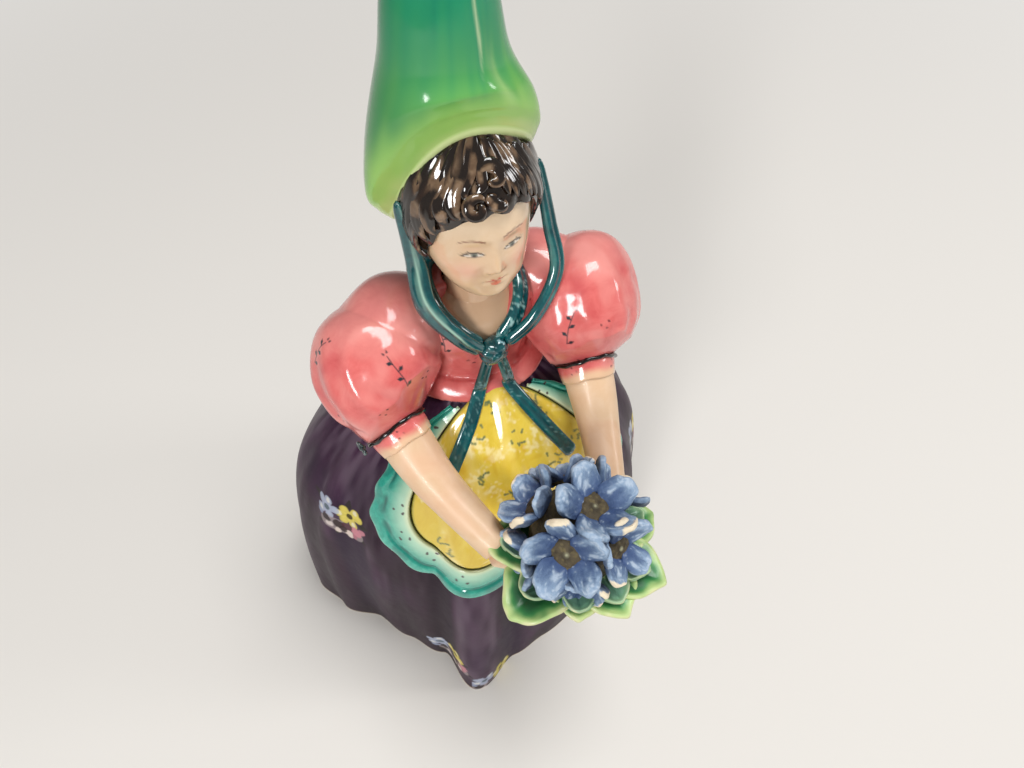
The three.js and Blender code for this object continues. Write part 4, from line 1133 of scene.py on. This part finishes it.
lid = flat_way([(2.1, -1.5), (2.8, -0.98), (3.7, -0.72), (4.7, -0.74), (5.5, -1.02), (6.25, -1.45)], 16)
brow = flat_way([(2.0, 1.9), (3.2, 2.35), (4.5, 2.55), (5.7, 2.35), (6.8, 1.85)], 16)
features = [
    (2.4, -1.35, 5.6, -1.3, 0.3, 0.26, "#e9e3d8", 0.8), (4.0, -1.3, 4.1, -1.3, 0.55, 0.5, "#5d6a60", 0.9),
    (4.05, -1.3, 4.05, -1.3, 0.25, 0.25, "#1d1a18", 0.95),
]
features += [(*a, *b, 0.13, 0.14, "#33251f", 0.92) for a, b in zip(lid, lid[1:])]
features += [(x, z, x + 0.45, z + 0.4, 0.1, 0.03, "#33251f", 0.8) for x, z in lid[9::2]]
features.append((2.7, -1.75, 5.4, -1.75, 0.08, 0.08, "#8a6a58", 0.6))
features += [(*a, *b, 0.18 - 0.006 * i, 0.175 - 0.006 * i, "#84533c", 0.75)
             for i, (a, b) in enumerate(zip(brow, brow[1:]))]
features += [
    (0.85, -6.3, 1.05, -6.25, 0.14, 0.1, "#b98068", 0.7),
    (0, -8.72, 0.75, -8.55, 0.2, 0.26, "#c8604c", 0.85),
    (0.75, -8.55, 2.05, -9.0, 0.26, 0.08, "#c8604c", 0.85),
    (0, -9.6, 0.9, -9.5, 0.4, 0.22, "#d8775c", 0.85), (0, -9.1, 2.15, -9.02, 0.09, 0.07, "#9c4436", 0.8),
]
art = Painting(face)
flat = art.at[:, [0, 2]] - np.array((head.x, head.z))
aside, up = np.abs(flat[:, 0]), flat[:, 1]
front_half = art.at[:, 1] < head.y
art.lay("#e8a08f", 0.5 * hump(aside, 5.6, 2.6) * hump(up, -5.0, 2.3) * front_half)
art.lay("#ecdabf", 0.35 * rise(up, 1.0, 6.0) * front_half)
# painted shade: a soft shadow on the lids above the eyes
art.lay("#d9a88c", 0.3 * hump(aside, 4.1, 2.2) * hump(up, 0.5, 0.8))
for side in sides.values():
    art.draw(flat * (side, 1), features, np.nonzero(art.at[:, 1] < head.y - 2)[0])
art.keep()
turned_with_head(face)

neck_way = straight(body + Vector((0, -1, 18)), head + Vector((0, 2, -5.3)), 40)
girth = 5.4 + 2.2 * (1 - np.linspace(0, 1, 40)) ** 3
neck = swept(neck_way, to_front, girth, girth, around=48, ends=0.02)
chest = ball(body + Vector((0, -1.2, 14.5)), (13.2, 9.9, 9.8), 64, 40)
for part, cover in ((neck, 0.25), (chest, 0.2)):
    art = Painting(part)
    art.lay("#cf9c7d", 0.35)
    art.lay("#d9a686", cover * rise(grain(art.at, 5, 3), 0.4, 0.8))
    art.keep()
finished(joined([face, neck, chest]), "head_and_neck", ["head"], skin_glaze)


# Hair

hair_half, hair_middle = Vector((14, 14.4, 16.4)), head + Vector((0, 0.6, 1.6))
hat_half_width, hat_height, hat_shift, hat_wall, droop = 17.3, 79.5, -1.6, 2.6, 7.8
hat_tilt = math.radians(57)


def on_hair(degrees, height, lift):
    """A point of the hair: degrees from her front towards her left, height as a share, and lift."""
    angle, level = math.radians(degrees), math.sqrt(max(0, 1 - height**2))
    way = Vector((math.sin(angle) * level, -math.cos(angle) * level, height))
    return hair_middle + Vector(half * part + lift * part for half, part in zip(hair_half, way))


def from_hair_middle(at):
    """Places from the hair's middle in halves of the hair's size, and how far out they are."""
    spoke = (at - np.array(hair_middle)) / np.array(hair_half)
    return spoke, np.linalg.norm(spoke, axis=1, keepdims=True)


def brushed(piece, across, along, seed, bare=0.0):
    """Dark strokes that run along a piece of hair, with the tan wash left bare between them."""
    art = Painting(piece)
    lines = brush(across * 8, along * 2.2, 3, seed)
    worn = bare + 0.35 * rise(grain(art.at, 3.2, 6), 0.62, 0.8) + 0.1 * rise(art.at[:, 2] - head.z, 9, 14)
    art.lay("#140b07", 0.98 * rise(lines - worn, 0.17, 0.36))
    art.lay("#3a2417", 0.5 * fall(lines, 0.36, 0.5) * (1 - np.clip(worn * 2, 0, 1)))
    art.keep()
    return turned_with_head(piece)


def lock(stops, wide, bare=0.0, tip=0.22, lift=0.25):
    """A lock of hair through stops of degrees and height, thinner towards its tip."""
    count, around = 12 * len(stops), 18
    way = way_through([on_hair(degrees, height, lift) for degrees, height in stops], count)
    taper = wide * spread_over([0.75, 1, 0.85, tip], count, [0, 0.25, 0.65, 1])
    piece = swept(way, way - np.array(hair_middle), taper, 0.58 * taper, around, groove=0.32, ends=0.16)
    along, across = strip_shares(count, around)
    return brushed(piece, across, along * len(stops) * 0.6, stops[0][0] * 0.37 + stops[-1][1], bare)


def curl(degrees, height, radius, turns, wide, start, way_round=1):
    """A lock rolled up flat on the hair, from its outer end to its middle."""
    centre = on_hair(degrees, height, 0.35)
    outwards = (centre - head).normalized()
    right = UP.cross(outwards).normalized()
    upward = outwards.cross(right)
    steps, around = int(turns * 26), 14
    share = np.linspace(0, 1, steps)
    turn = start + way_round * math.tau * turns * share
    far = radius * (1 - 0.72 * share)
    coil = np.array(centre) + np.outer(far * np.cos(turn), right) + np.outer(far * np.sin(turn), upward)
    coil += np.outer(0.1 + 0.5 * share, outwards)
    swell = wide * spread_over([0.6, 1, 0.5], steps, [0, 0.3, 1])
    piece = swept(coil, outwards, swell, 0.75 * swell, around, groove=0.2)
    along, across = strip_shares(steps, around)
    return brushed(piece, across, along * steps / around, degrees * 0.1)


cap = cast_from("hair")
recast(cap, 0.4, 14)
at = corners(cap)
round_head = np.arctan2(at[:, 0] - head.x, head.y - at[:, 1])
spoke, far = from_hair_middle(at)
kept_in = np.where(far > 0.96, 0.96 + 0.2 * (far - 0.96), far)
at = np.array(hair_middle) + spoke / far * kept_in * np.array(hair_half)
high = at[:, 2] - head.z
waves = brush(round_head * 5 + 0.08 * high, high * 0.13, 4)
move_corners(cap, at + outward(cap) * (0.9 * (waves - 0.5))[:, None])
art = Painting(cap)
lines = brush(round_head * 10 + 0.1 * high, high * 0.16, 8)
art.lay("#180e09", 0.97 * rise(lines - 0.25 * rise(high, 9, 15), 0.17, 0.36))
art.keep()
locks = [
    # down her right temple and cheek
    lock([(-50, 0.88), (-62, 0.66), (-68, 0.4), (-64, 0.14), (-56, 0.0)], 1.9),
    lock([(-60, 0.82), (-73, 0.55), (-79, 0.25), (-76, -0.05), (-70, -0.22)], 1.9),
    lock([(-74, 0.7), (-85, 0.35), (-88, 0.0), (-84, -0.3), (-77, -0.48)], 1.8),
    lock([(-66, 0.3), (-71, 0.05), (-72, -0.2), (-67, -0.36)], 1.3),
    lock([(-40, 0.9), (-52, 0.7), (-58, 0.46), (-54, 0.25), (-48, 0.16)], 2.0, bare=0.06),
    lock([(-30, 0.93), (-42, 0.75), (-47, 0.54), (-43, 0.38), (-38, 0.32)], 1.9),
    lock([(-16, 0.95), (-30, 0.8), (-36, 0.62), (-33, 0.46), (-28, 0.4)], 1.9, bare=0.04),
    lock([(-6, 0.95), (-18, 0.84), (-25, 0.7), (-24, 0.58)], 1.7),
    # round the swirl over her forehead
    lock([(-10, 0.93), (-4, 0.84), (-6, 0.7), (-13, 0.64)], 1.4),
    lock([(-3, 0.62), (2, 0.52), (9, 0.48), (13, 0.52)], 1.5),
    curl(5.5, 0.74, 2.5, 0.85, 1.5, start=2.6, way_round=-1),
    curl(-14.4, 0.5, 2.1, 1.1, 1.35, start=0.6),
    # even bangs on her left, cut level
    lock([(8, 0.93), (15, 0.82), (19, 0.68), (18.5, 0.54)], 1.25, tip=0.4),
    lock([(16, 0.92), (24, 0.78), (27, 0.62), (26.5, 0.47)], 1.2, bare=0.08, tip=0.4),
    lock([(24, 0.9), (32, 0.75), (35, 0.57), (34.5, 0.41)], 1.2, tip=0.4),
    lock([(32, 0.88), (40, 0.7), (43, 0.52), (42.5, 0.35)], 1.2, bare=0.1, tip=0.4),
    lock([(42, 0.84), (49, 0.63), (51, 0.43), (50, 0.27)], 1.2, tip=0.4),
    lock([(52, 0.8), (58, 0.55), (60, 0.32), (58, 0.13)], 1.4, tip=0.7),
    lock([(62, 0.72), (68, 0.42), (70, 0.14), (67, -0.08)], 1.6),
    lock([(72, 0.62), (79, 0.3), (80, -0.05), (76, -0.32)], 1.7),
    lock([(82, 0.5), (88, 0.12), (88, -0.25), (83, -0.52)], 1.7),
]
rng = random.Random(7)
for number in range(12):  # waves down the back of her head
    start = 98 + 15 * number
    wave = [(start + 7 * math.sin(1.5 * i + number * 1.7), 0.44 - 0.19 * i - rng.uniform(0, 0.06))
            for i in range(6)]
    locks.append(lock(wave, rng.uniform(2.2, 2.7), bare=rng.uniform(0, 0.08), lift=0.0))
hair = joined([turned_with_head(cap), *locks])
# Under the brim the hair keeps closer to her head behind, and fills the hat in front.
at = corners(hair)
aside = np.clip((at[:, 0] - head.x - hat_shift) / hat_half_width, -1, 1)
brim_middle = head + Vector((hat_shift, 3.5, 8.6))
under = (at - np.array(brim_middle)) @ (0, math.sin(hat_tilt), math.cos(hat_tilt))
under += droop * aside**2 * (1 - aside) / 2 * math.cos(hat_tilt)
spoke, far = from_hair_middle(at)
before = rise(head.y - at[:, 1], -9, -3)
limit = 1.1 - (0.21 * rise(under, -3.0, 0.6) * (1 - before))[:, None]
raised = np.outer(3.4 * before * rise(under, -6, -0.5), (0.12, 0, 1))
move_corners(hair, np.array(hair_middle) + spoke * np.minimum(1, limit / far) * np.array(hair_half) + raised)
finished(hair, "curled_hair", ["hair"], hair_glaze)


# Hat

hat_glaze = fired("glazed_emerald_earthenware", [(0.3, "#0c6b5a"), (0.5, "#128066"), (0.75, "#1f9170")],
                  9.0, 0.12, 0.14, wave=6.0, ripple=0.14, stretch=(1, 1, 0.4), shine=0.3)
# deep sea green that was sprayed on from the tip and fades to a pale yellow-green at the brim

# Rings from the brim to the tip: height as a share, half width as a share, half depth in front as a share
# of the half width, tilt as a share, and shifts back and to her left as shares of the half width.
hat_rows = [
    (0.108, 0.87, 1, 1, 0.2, 0.046), (0.135, 0.955, 0.94, 0.97, 0.195, 0.014),
    (0.177, 1.02, 0.845, 0.9, 0.18, -0.023), (0.27, 0.93, 0.77, 0.63, 0.178, -0.03),
    (0.4, 0.67, 0.88, 0.1, 0.19, -0.046), (0.55, 0.535, 0.98, 0, 0.197, -0.04),
    (0.78, 0.29, 1, 0, 0.202, -0.017), (0.94, 0.12, 1, 0, 0.208, 0), (1, 0, 1, 0, 0.208, 0),
]
outer_rows = way_through(hat_rows, 96)
outer_rows[:, 1] = np.maximum(outer_rows[:, 1], 0)
inner_rows = way_through(hat_rows[:4], 18)[::-1]
rim = np.array([(0.35, 2.4), (0.62, 1.9), (0.72, 1.3), (0.62, 0.7), (0.35, 0.2)])  # how low and how far in
all_rows = np.vstack([inner_rows[:1], inner_rows, np.repeat(outer_rows[:1], len(rim), axis=0), outer_rows])
rim_start, outer_start = len(inner_rows) + 1, len(all_rows) - len(outer_rows)
inset, drop = np.zeros(len(all_rows)), np.zeros(len(all_rows))
inset[0] = hat_half_width * 2  # closes the inside to a point
inset[1:rim_start] = hat_wall
drop[rim_start:outer_start], inset[rim_start:outer_start] = rim.T


def on_hat(row, angle):
    """Points of the hat by their row and the angle from her front towards her left."""
    height, wide, deep, tilt, back, across = all_rows[row].T
    crease = hump(angle + 0.9 * (height - 0.3), 0.75, 0.2) * hump(height, 0.34, 0.13)
    swirl = 0.25 * np.sin(3 * angle + height * 9) * np.minimum(1, wide * 2) * rise(height, 0.1, 0.3)
    radius = np.maximum(0, hat_half_width * wide - inset[row])
    radius += np.where((radius > 0) & (row >= outer_start), swirl - 0.8 * crease, 0)
    lean, side, down = -hat_tilt * tilt, np.sin(angle), drop[row]
    front = -radius * np.cos(angle) * (1 + 0.1 * tilt) * np.where(np.cos(angle) > 0, deep, 1)
    hang = droop * tilt**2 * side**2 * (1 - side) / 2
    x = head.x + hat_shift + hat_half_width * across + radius * side
    y = head.y + hat_half_width * back + front * np.cos(lean) + down * np.sin(lean)
    z = head.z + hat_height * height + front * np.sin(lean) - down * np.cos(lean) - hang
    return np.stack([x, y, z], axis=1)


hat, row, angle = spun(len(all_rows), 180)
move_corners(hat, on_hat(row, angle))
note(hat, "row", row)
with editing(hat) as mesh:
    mesh.remove_doubles(threshold=1e-4)
face_out(hat)
art = Painting(hat)
row = np.rint(noted(hat, "row")).astype(int)
offset = art.at - np.array(head)
angle = np.arctan2(offset[:, 0], -offset[:, 1])
level = all_rows[row][:, 0]
lines = brush(angle * 7, level * 3.2, 4) - 0.5
level = level + 0.07 * lines * rise(level, 0.1, 0.3) + 0.05 * (grain(art.at, 7, 2) - 0.5)
for code, low, high in (("#2b8f5f", 0.42, 0.78), ("#57a35a", 0.3, 0.56), ("#78b258", 0.17, 0.45),
                        ("#98c464", 0.11, 0.33), ("#b8cf80", 0.1, 0.15)):
    art.lay(code, 0.95 * fall(level, low, high))
run = hump(angle - 0.05 * np.sin(level * 30), 0.2, 0.05) * rise(level, 0.4, 0.5) * fall(level, 0.8, 0.95)
crest = fall(np.abs(angle - 0.75 + 0.9 * (level - 0.3)), 0, 0.3) * fall(np.abs(level - 0.3), 0, 0.2)
art.lay("#17724f", 0.65 * rise(-offset[:, 0], 6, 17) * rise(level, 0.16, 0.3))
art.lay("#0d6a58", 0.2 * rise(lines, 0.1, 0.3) * rise(level, 0.35, 0.6))
art.lay("#cfe0b0", 0.6 * run)
art.lay("#c9e09a", 0.3 * crest)
art.lay("#ccd99c", 0.8 * (row >= rim_start) * (row < outer_start))
art.lay("#7fae58", 0.8 * (row < rim_start))
art.keep()
finished(hat, "pointed_hat", ["hat"], hat_glaze)


# Ribbons

ribbon_glaze = fired("glazed_petrol_earthenware", [(0.28, "#083f44"), (0.5, "#0c5256"), (0.78, "#176a68")],
                     2.2, 0.07, 0.9, wave=1.6, ripple=0.08)
# petrol green, nearly black where it lies thick and sea green where it has run off the edges


def stroked(piece, count, around, pale, dark, seed, streak=None):
    """Brush marks that run along a strip, and a pale streak if its turn, breadth and cover are given."""
    art = Painting(piece)
    along, turn = strip_shares(count, around)
    lines = brush(turn * 12, along * 5, seed)
    art.lay(dark, 0.75 * fall(lines, 0.25, 0.45))
    art.lay(pale, 0.25 * rise(lines, 0.72, 0.9))
    if streak:
        middle, breadth, cover = streak
        line = hump(turn - 0.03 * np.sin(along * 9 + seed), middle, breadth)
        ragged = 0.55 + 0.6 * brush(along * 14, turn * 3, seed + 1)
        art.lay(pale, cover * line * ragged * rise(along, 0.12, 0.3) * fall(along, 0.7, 0.92))
    return art


ribbon_shares = [0, 0.12, 0.3, 0.5, 0.75, 1]
ribbon_plan = {
    "right": ((15, 13.4), [1.0, 1.5, 2.3, 2.55, 2.1, 1.9], [0.8, 1.0, 1.15, 1.2, 1.2, 1.3], "#a9d6bf",
              (0.3, 0.022, 0.85)),
    "left": ((14.8, 16.2), [1.0, 1.5, 1.8, 1.95, 1.9, 1.7], [0.9, 1.2, 1.4, 1.45, 1.4, 1.4], "#7fbcae",
             (0.42, 0.02, 0.7)),
}
# each ribbon: how far out it runs at the hat and at the chin, its half widths and half thicknesses, its pale
# colour and its streak


def make_ribbon(name, side):
    (near, far), half_widths, half_depths, pale, streak = ribbon_plan[name]
    count, around, chin = 90, 56, head_half.z
    beside_head = [(near, side, 7.5), (near + (far - near) * 0.9, -3.4, -0.4 * chin),
                   (far, -8, -1.05 * chin), (far * 0.6, -12, -1.6 * chin)]
    stops = [head + Vector((side * x, y, z)) for x, y, z in beside_head]
    way = way_through([*stops, knot_centre + Vector((side * 3.0, -0.2, 1.3))], count)
    facing = unit(way - np.array(head + Vector((0, 4, -16)))) + np.array((-0.25 * (side > 0), -0.6, 0.25))
    wide, thick = (spread_over(values, count, ribbon_shares) for values in (half_widths, half_depths))
    ribbon = swept(way, facing, wide, thick, around, groove=0.3, ends=0.05)
    stroked(ribbon, count, around, pale, "#06373c", 3 + side, streak).keep()
    finished(ribbon, f"{name}_hat_ribbon", [f"{name}_ribbon"], ribbon_glaze)


def make_ribbon_tail(name, side):
    count, around = 80, 24
    on_cloth = over_skirt(-side * np.radians((15, 21.5, 27.5, 32.5)), (0.06, 0.16, 0.27, 0.38), 2.1)
    from_knot = [knot_centre + Vector((side * 1.4, -0.6, -1.75)), body + Vector((side * 3.4, -14.9, 2.6))]
    way = way_through([*from_knot, *on_cloth], count)
    wide = spread_over([1.3, 1.6, 1.85, 1.95], count, [0, 0.3, 0.8, 1])
    tail = swept(way, (0.1 * side, -0.8, 0.7), wide, 0.62, around, groove=0.4, ends=0.03)
    art = stroked(tail, count, around, "#4c9088", "#07373c", 9 + side)
    art.lay("#7fb0ae", 0.45 * rise(grain(art.at, 0.5, 5), 0.72, 0.86))
    art.keep()
    finished(tail, f"{name}_ribbon_end", [f"{name}_ribbon_tail"], ribbon_glaze)


for name, side in sides.items():
    make_ribbon(name, side)
    make_ribbon_tail(name, side)

knot = unit_ball(96, 60)
boxy = boxed(corners(knot), 0.8)
band = hump(boxy[:, 0] * 0.9 - boxy[:, 2] * 0.45, 0, 0.42, 4)
folds = 0.12 * np.cos(boxy[:, 2] * 9 + boxy[:, 0] * 4) * (1 - band)
swell = (0.92 + 0.13 * band + 0.4 * folds)[:, None]
move_corners(knot, np.array(knot_centre) + boxy * (3.55, 2.6, 3.5) * swell)
art = Painting(knot)
art.lay("#063a40", 0.75 * rise(grain(art.at, 1.0, 2), 0.42, 0.62))
art.lay("#063036", 0.8 * hump(band, 0.4, 0.2))
art.lay("#9cc4cb", 0.7 * rise(grain(art.at, 0.6, 6), 0.66, 0.8) * band)
art.keep()
finished(knot, "ribbon_bow_knot", ["ribbon_knot"], ribbon_glaze)

left_of_neck = [(2.4, -12.7, 14), (7.4, -10.6, 19.6), (10.2, -5, 23.6), (9, 3.5, 26.8)]
right_of_neck = [(-x, y, z) for x, y, z in reversed(left_of_neck)]
scarf_stops = [body + Vector(place) for place in (*left_of_neck, (0, 8, 27.4), *right_of_neck)]
way = way_through(scarf_stops, 150)
scarf = swept(way, way - np.array(body + Vector((0, 2, 14))), 2.25, 1.5, around=28, groove=0.25, ends=0.03)
art = stroked(scarf, 150, 28, "#3d8f8a", "#08474c", 12)
speck = grain(art.at, 0.75, 11) * 0.7 + grain(art.at, 0.35, 14) * 0.3
art.lay("#9fc9c4", 0.75 * rise(speck, 0.58, 0.72) * rise(art.at[:, 0], 2.0, 6.0))
art.lay("#0a3a40", 0.7 * fall(speck, 0.26, 0.36) * rise(art.at[:, 0], 2.0, 6.0))
art.keep()
finished(scarf, "neck_scarf", ["scarf"], ribbon_glaze)

ahead = arm_start(-1)
aside = beside(Vector((-1, -0.35, -0.1)), ahead)
upright = ahead.cross(aside).normalized()
bow_centre = cuff_centre(-1) + aside * 9.2 - ahead * 0.6
loops = []
for turn in (-0.7, 0.75, 2.4, 3.9):
    reach = ahead * math.cos(turn) + upright * math.sin(turn)
    sideways = aside.cross(reach)
    stops = [bow_centre + reach * on + sideways * off + aside * up
             for on, off, up in ((0, 0, 0), (1, 0.55, 0.3), (1.9, 0, 0.2), (1, -0.55, -0.1), (0, 0, 0))]
    loops.append(swept(way_through(stops, 30), aside, 0.42, 0.3, around=12, ends=0.05))
loops.append(ball(bow_centre, (0.8, 0.8, 0.8), 24, 16))
for part in loops:
    art = Painting(part)
    art.lay("#8fb0a8", 0.5 * rise(grain(art.at, 0.8, 4), 0.6, 0.8))
    art.keep()
finished(joined(loops), "sleeve_bow", ["right_sleeve_bow"], cord_glaze)


# Posy

petal_matt = fired("matt_blue_underglaze", [(0.28, "#596f8b"), (0.5, "#6f86a3"), (0.75, "#8b9fb6")],
                   1.3, 0.66, 0.0, wave=0.8, ripple=0.35, grit=0.8, shine=0.3)
# slate blue brushed on unglazed clay, streaky and chalky, with the cream clay bare on some thick edges
leaf_glaze = fired("thin_glazed_green_earthenware", [(0.3, "#2a8145"), (0.5, "#3f9a4d"), (0.75, "#5cad58")],
                   2.6, 0.38, 0.12, wave=1.5, ripple=0.15)
# leaf green with a darker heart, fading to cream-green on the rims where the glaze broke
moss_matt = fired("matt_olive_underglaze", [(0.3, "#3d3526"), (0.5, "#51462f"), (0.75, "#6b5e40")],
                  0.9, 0.6, 0.05, wave=0.7, ripple=0.25, grit=0.9)
# rough olive-brown clay between the flowers


def posy_way(down, round_posy):
    """A direction from the posy's middle, by degrees down from its top and degrees round from its front."""
    down, round_posy = math.radians(down), math.radians(round_posy)
    out = math.sin(down)
    return Vector((-math.sin(round_posy) * out, -math.cos(round_posy) * out, math.cos(down)))


core = ball(posy, [posy_radius] * 3, 72, 48)
at = corners(core) - np.array(posy)
uneven = 1 + 0.05 * (grain(at, 1.4, 3) - 0.5) - 0.02 * grain(at, 3.5, 5)
move_corners(core, np.array(posy) + at * uneven[:, None])
art = Painting(core)
art.lay("#2c2a3a", 0.5 * rise(grain(art.at, 2.0, 4), 0.55, 0.75))
art.keep()
finished(core, "posy_heart", ["posy_core"], moss_matt)


def petal(number):
    """One thick, dented petal, its inner end at the left, with its streaky painting."""
    piece = unit_ball(48, 28)
    at = corners(piece)
    x, y, z = at.T
    rng = random.Random(number)
    boxy = boxed(at, np.array((0.74, 0.78, 0.58)))
    long, wide, thick = 4.1 * rng.uniform(0.94, 1.05), 3.55 * rng.uniform(0.92, 1.05), 1.12
    turn = np.arctan2(y, x)
    ragged = 1 + 0.05 * np.sin(3 * turn + rng.uniform(0, 6)) + 0.03 * np.sin(7 * turn + number)
    width = wide * (1 - 0.1 * boxy[:, 0] - 0.06 * boxy[:, 0] ** 2)
    lift = rng.uniform(0.5, 1.1) * boxy[:, 0] ** 2 + rng.uniform(-0.1, 0.5) * boxy[:, 1] ** 2
    lift += 0.6 * (grain(at * (4, 3.3, 1) + number * 3, 1.8, 5) - 0.5)
    lift += 0.22 * (grain(at * (3, 9, 1) + number, 1, 3) - 0.5)
    move_corners(piece, np.stack([boxy[:, 0] * long * ragged, boxy[:, 1] * width * ragged,
                                  boxy[:, 2] * thick * (1 + 0.12 * boxy[:, 0]) + lift], axis=1))
    art = Painting(piece)
    streaks = brush(x * 1.6, y * 3.6, 7, z * 2 + number)
    fine = grain(at * (6, 10, 4) + number, 1.0, 2)
    art.lay("#2a406f", 0.85 * rise(-x * 0.9 - streaks * 0.6 - fine * 0.25, -0.9, 0.2))
    art.lay("#9db2ca", 0.75 * rise(x * 0.7 + streaks * 0.9 + fine * 0.45, 0.6, 1.3))
    art.lay("#c3cfdc", 0.6 * rise(streaks * 0.5 + fine * 0.6 + x * 0.12, 0.66, 0.86))
    # painted shade: darker on the undersides of the petals
    art.lay("#222d4a", 0.6 * rise(-art.out[:, 2], 0.1, 0.7))
    if rng.random() < 0.4:
        blunt = rise(x + 0.2 * np.abs(y) + 0.2 * (fine - 0.5), 0.76, 0.84)
        art.lay("#ecdcbf", 0.95 * blunt * rise(0.7 - np.abs(z - 0.1), 0.0, 0.2))
    art.keep()
    return piece


def flower_eye(size, seed):
    """The rough button in the middle of a flower, paler at its very middle."""
    eye = ball((0, 0, 0), (3.9 * size, 3.9 * size, 1.35 * size), 56, 28)
    at = corners(eye)
    at *= (1 + 0.22 * (grain(at, 0.9, seed) - 0.5))[:, None]
    move_corners(eye, at)
    art = Painting(eye)
    art.lay("#52462e", 0.97)
    art.lay("#2f281d", 0.7 * rise(grain(at, 1.1, 9), 0.5, 0.75))
    art.lay("#756845", 0.6 * rise(grain(at, 0.6, 12), 0.6, 0.8))
    art.lay("#b9b898", 0.8 * fall(np.hypot(at[:, 0], at[:, 1]), 0.25, 0.5) * (at[:, 2] > 0))
    art.keep()
    return eye


petals = [petal(number) for number in range(9)]
flower_plan = [
    (12, -67, 1, 15), (47, 42, 1, 0), (54, 132, 0.92, 20), (56, -28, 0.84, 30), (66, -112, 0.86, 10),
    (68, -172, 0.84, 0), (90, 88, 0.8, 30), (92, 22, 0.7, 10),
]
# each flower: degrees down from the posy's top, degrees round, share of full size, spin in degrees

for number, (down, round_posy, size, spin) in enumerate(flower_plan):
    rng = random.Random(100 + number)
    way = posy_way(down, round_posy)
    far = posy_radius + 0.4 + 0.94 * size
    stand = Matrix.LocRotScale(posy + way * far, UP.rotation_difference(way), None)
    out = Matrix.Translation(Vector((6.0 * size, 0, 1.7 * size)))
    parts = []
    for i in range(5):
        around = Matrix.Rotation(math.radians(spin) + math.tau * i / 5 + rng.uniform(-0.12, 0.12), 4, "Z")
        lean = Matrix.Rotation(-math.radians(38 + rng.uniform(-9, 9)), 4, "Y")
        roll = Matrix.Rotation(rng.uniform(-0.28, 0.28), 4, "X")
        scale = Matrix.Scale(size * rng.uniform(0.95, 1.05), 4)
        part = copied(petals[(number * 5 + i * 2) % len(petals)])
        part.data.transform(stand @ around @ out @ lean @ roll @ scale)
        parts.append(part)
    eye = flower_eye(size, number)
    eye.data.transform(stand)
    flower = joined([*parts, eye])
    finished(flower, f"blossom_{number + 1}", [f"flower_{number + 1}"], petal_matt)
for piece in petals:
    bpy.data.objects.remove(piece)


def blade(long, wide, thick, point, seed):
    """A broad, thick leaf with a soft point, a midrib and a raised, rounded rim."""
    rng = random.Random(seed)
    piece = ringed_disc(20, 84)
    at = corners(piece)
    gap = np.hypot(at[:, 0], at[:, 1])
    turn = np.arctan2(at[:, 1], at[:, 0])
    outline = 1 + point * hump(turn, 0, 0.16) + 0.05 * np.cos(3 * turn + rng.uniform(-0.5, 0.5))
    outline += 0.025 * np.sin(6 * turn + seed)
    x, y = at[:, 0] * outline, at[:, 1] * outline
    height = 0.9 * y**2 + 0.35 * gap**2 * np.cos(2 * turn + seed) + 0.3 * (grain(at * 3, 1, seed) - 0.5)
    height += 0.4 * hump(gap, 0.9, 0.09) - 0.35 * hump(y, 0, 0.09) * fall(gap, 0.45, 0.85)
    dome = 0.5 * thick * np.sqrt(1.0001 - gap**6)
    move_corners(piece, np.stack([x * long * 0.92, y * wide * (1.03 - 0.1 * x**2), height + dome], axis=1))
    note(piece, "gap", gap)
    thickened(piece, UP, thick)
    modify(piece, "SMOOTH", factor=0.5, iterations=2)
    return piece


def leaf_painting(piece, heart, middle, rim, seed):
    """A dark heart, a lighter middle and a broad pale rim."""
    art = Painting(piece)
    gap = noted(piece, "gap") + 0.2 * (grain(art.at, 1.8, seed) - 0.5)
    art.lay(middle, 0.75)
    art.lay(heart, 0.95 * fall(gap, 0.46, 0.84))
    art.lay(rim, 0.95 * rise(gap, 0.68, 0.92))
    art.lay("#e3dfae", 0.8 * rise(gap, 0.9, 1.02))
    art.lay("#e9c9a0", 0.7 * rise(-art.out[:, 2], 0.3, 0.9))
    art.keep()


leaf_plan = [
    (-92, 1, 98, -5), (-44, 1.05, 98, -5), (-12, 0.95, 98, -5), (22, 0.85, 98, -5), (64, 1.1, 98, -5),
    (108, 1, 90, -3), (158, 0.85, 98, -5), (-148, 0.85, 98, -5),
]
# each leaf: degrees round the posy from its front, share of full size, degrees down from the top, and height

for number, (round_posy, size, down, high) in enumerate(leaf_plan):
    out, normal = posy_way(down, round_posy), posy_way(down - 90, round_posy)
    basis = Matrix((out, normal.cross(out), normal)).transposed().to_4x4()
    half_long = 8.6 * size
    leaf = blade(half_long, 7.5 * size, 1.6, 0.07, number)
    leaf_painting(leaf, "#12522f", "#3b8f4c", "#bcd389", number)
    leaf.data.transform(Matrix.Translation(posy + high * UP + out * (21 * size - half_long)) @ basis)
    sepal = blade(4.6 * size, 4.4 * size, 1.1, 0.04, number + 20)
    leaf_painting(sepal, "#5f8c74", "#80a98a", "#a9c69a", number + 9)
    tipped = Matrix.Rotation(math.radians(-12), 4, "Y")
    sepal.data.transform(Matrix.Translation(posy - 2.6 * UP + out * 13.2) @ basis @ tipped)
    leaf = joined([leaf, sepal])
    finished(leaf, f"posy_leaf_{number + 1}", [f"leaf_{number + 1}"], leaf_glaze)
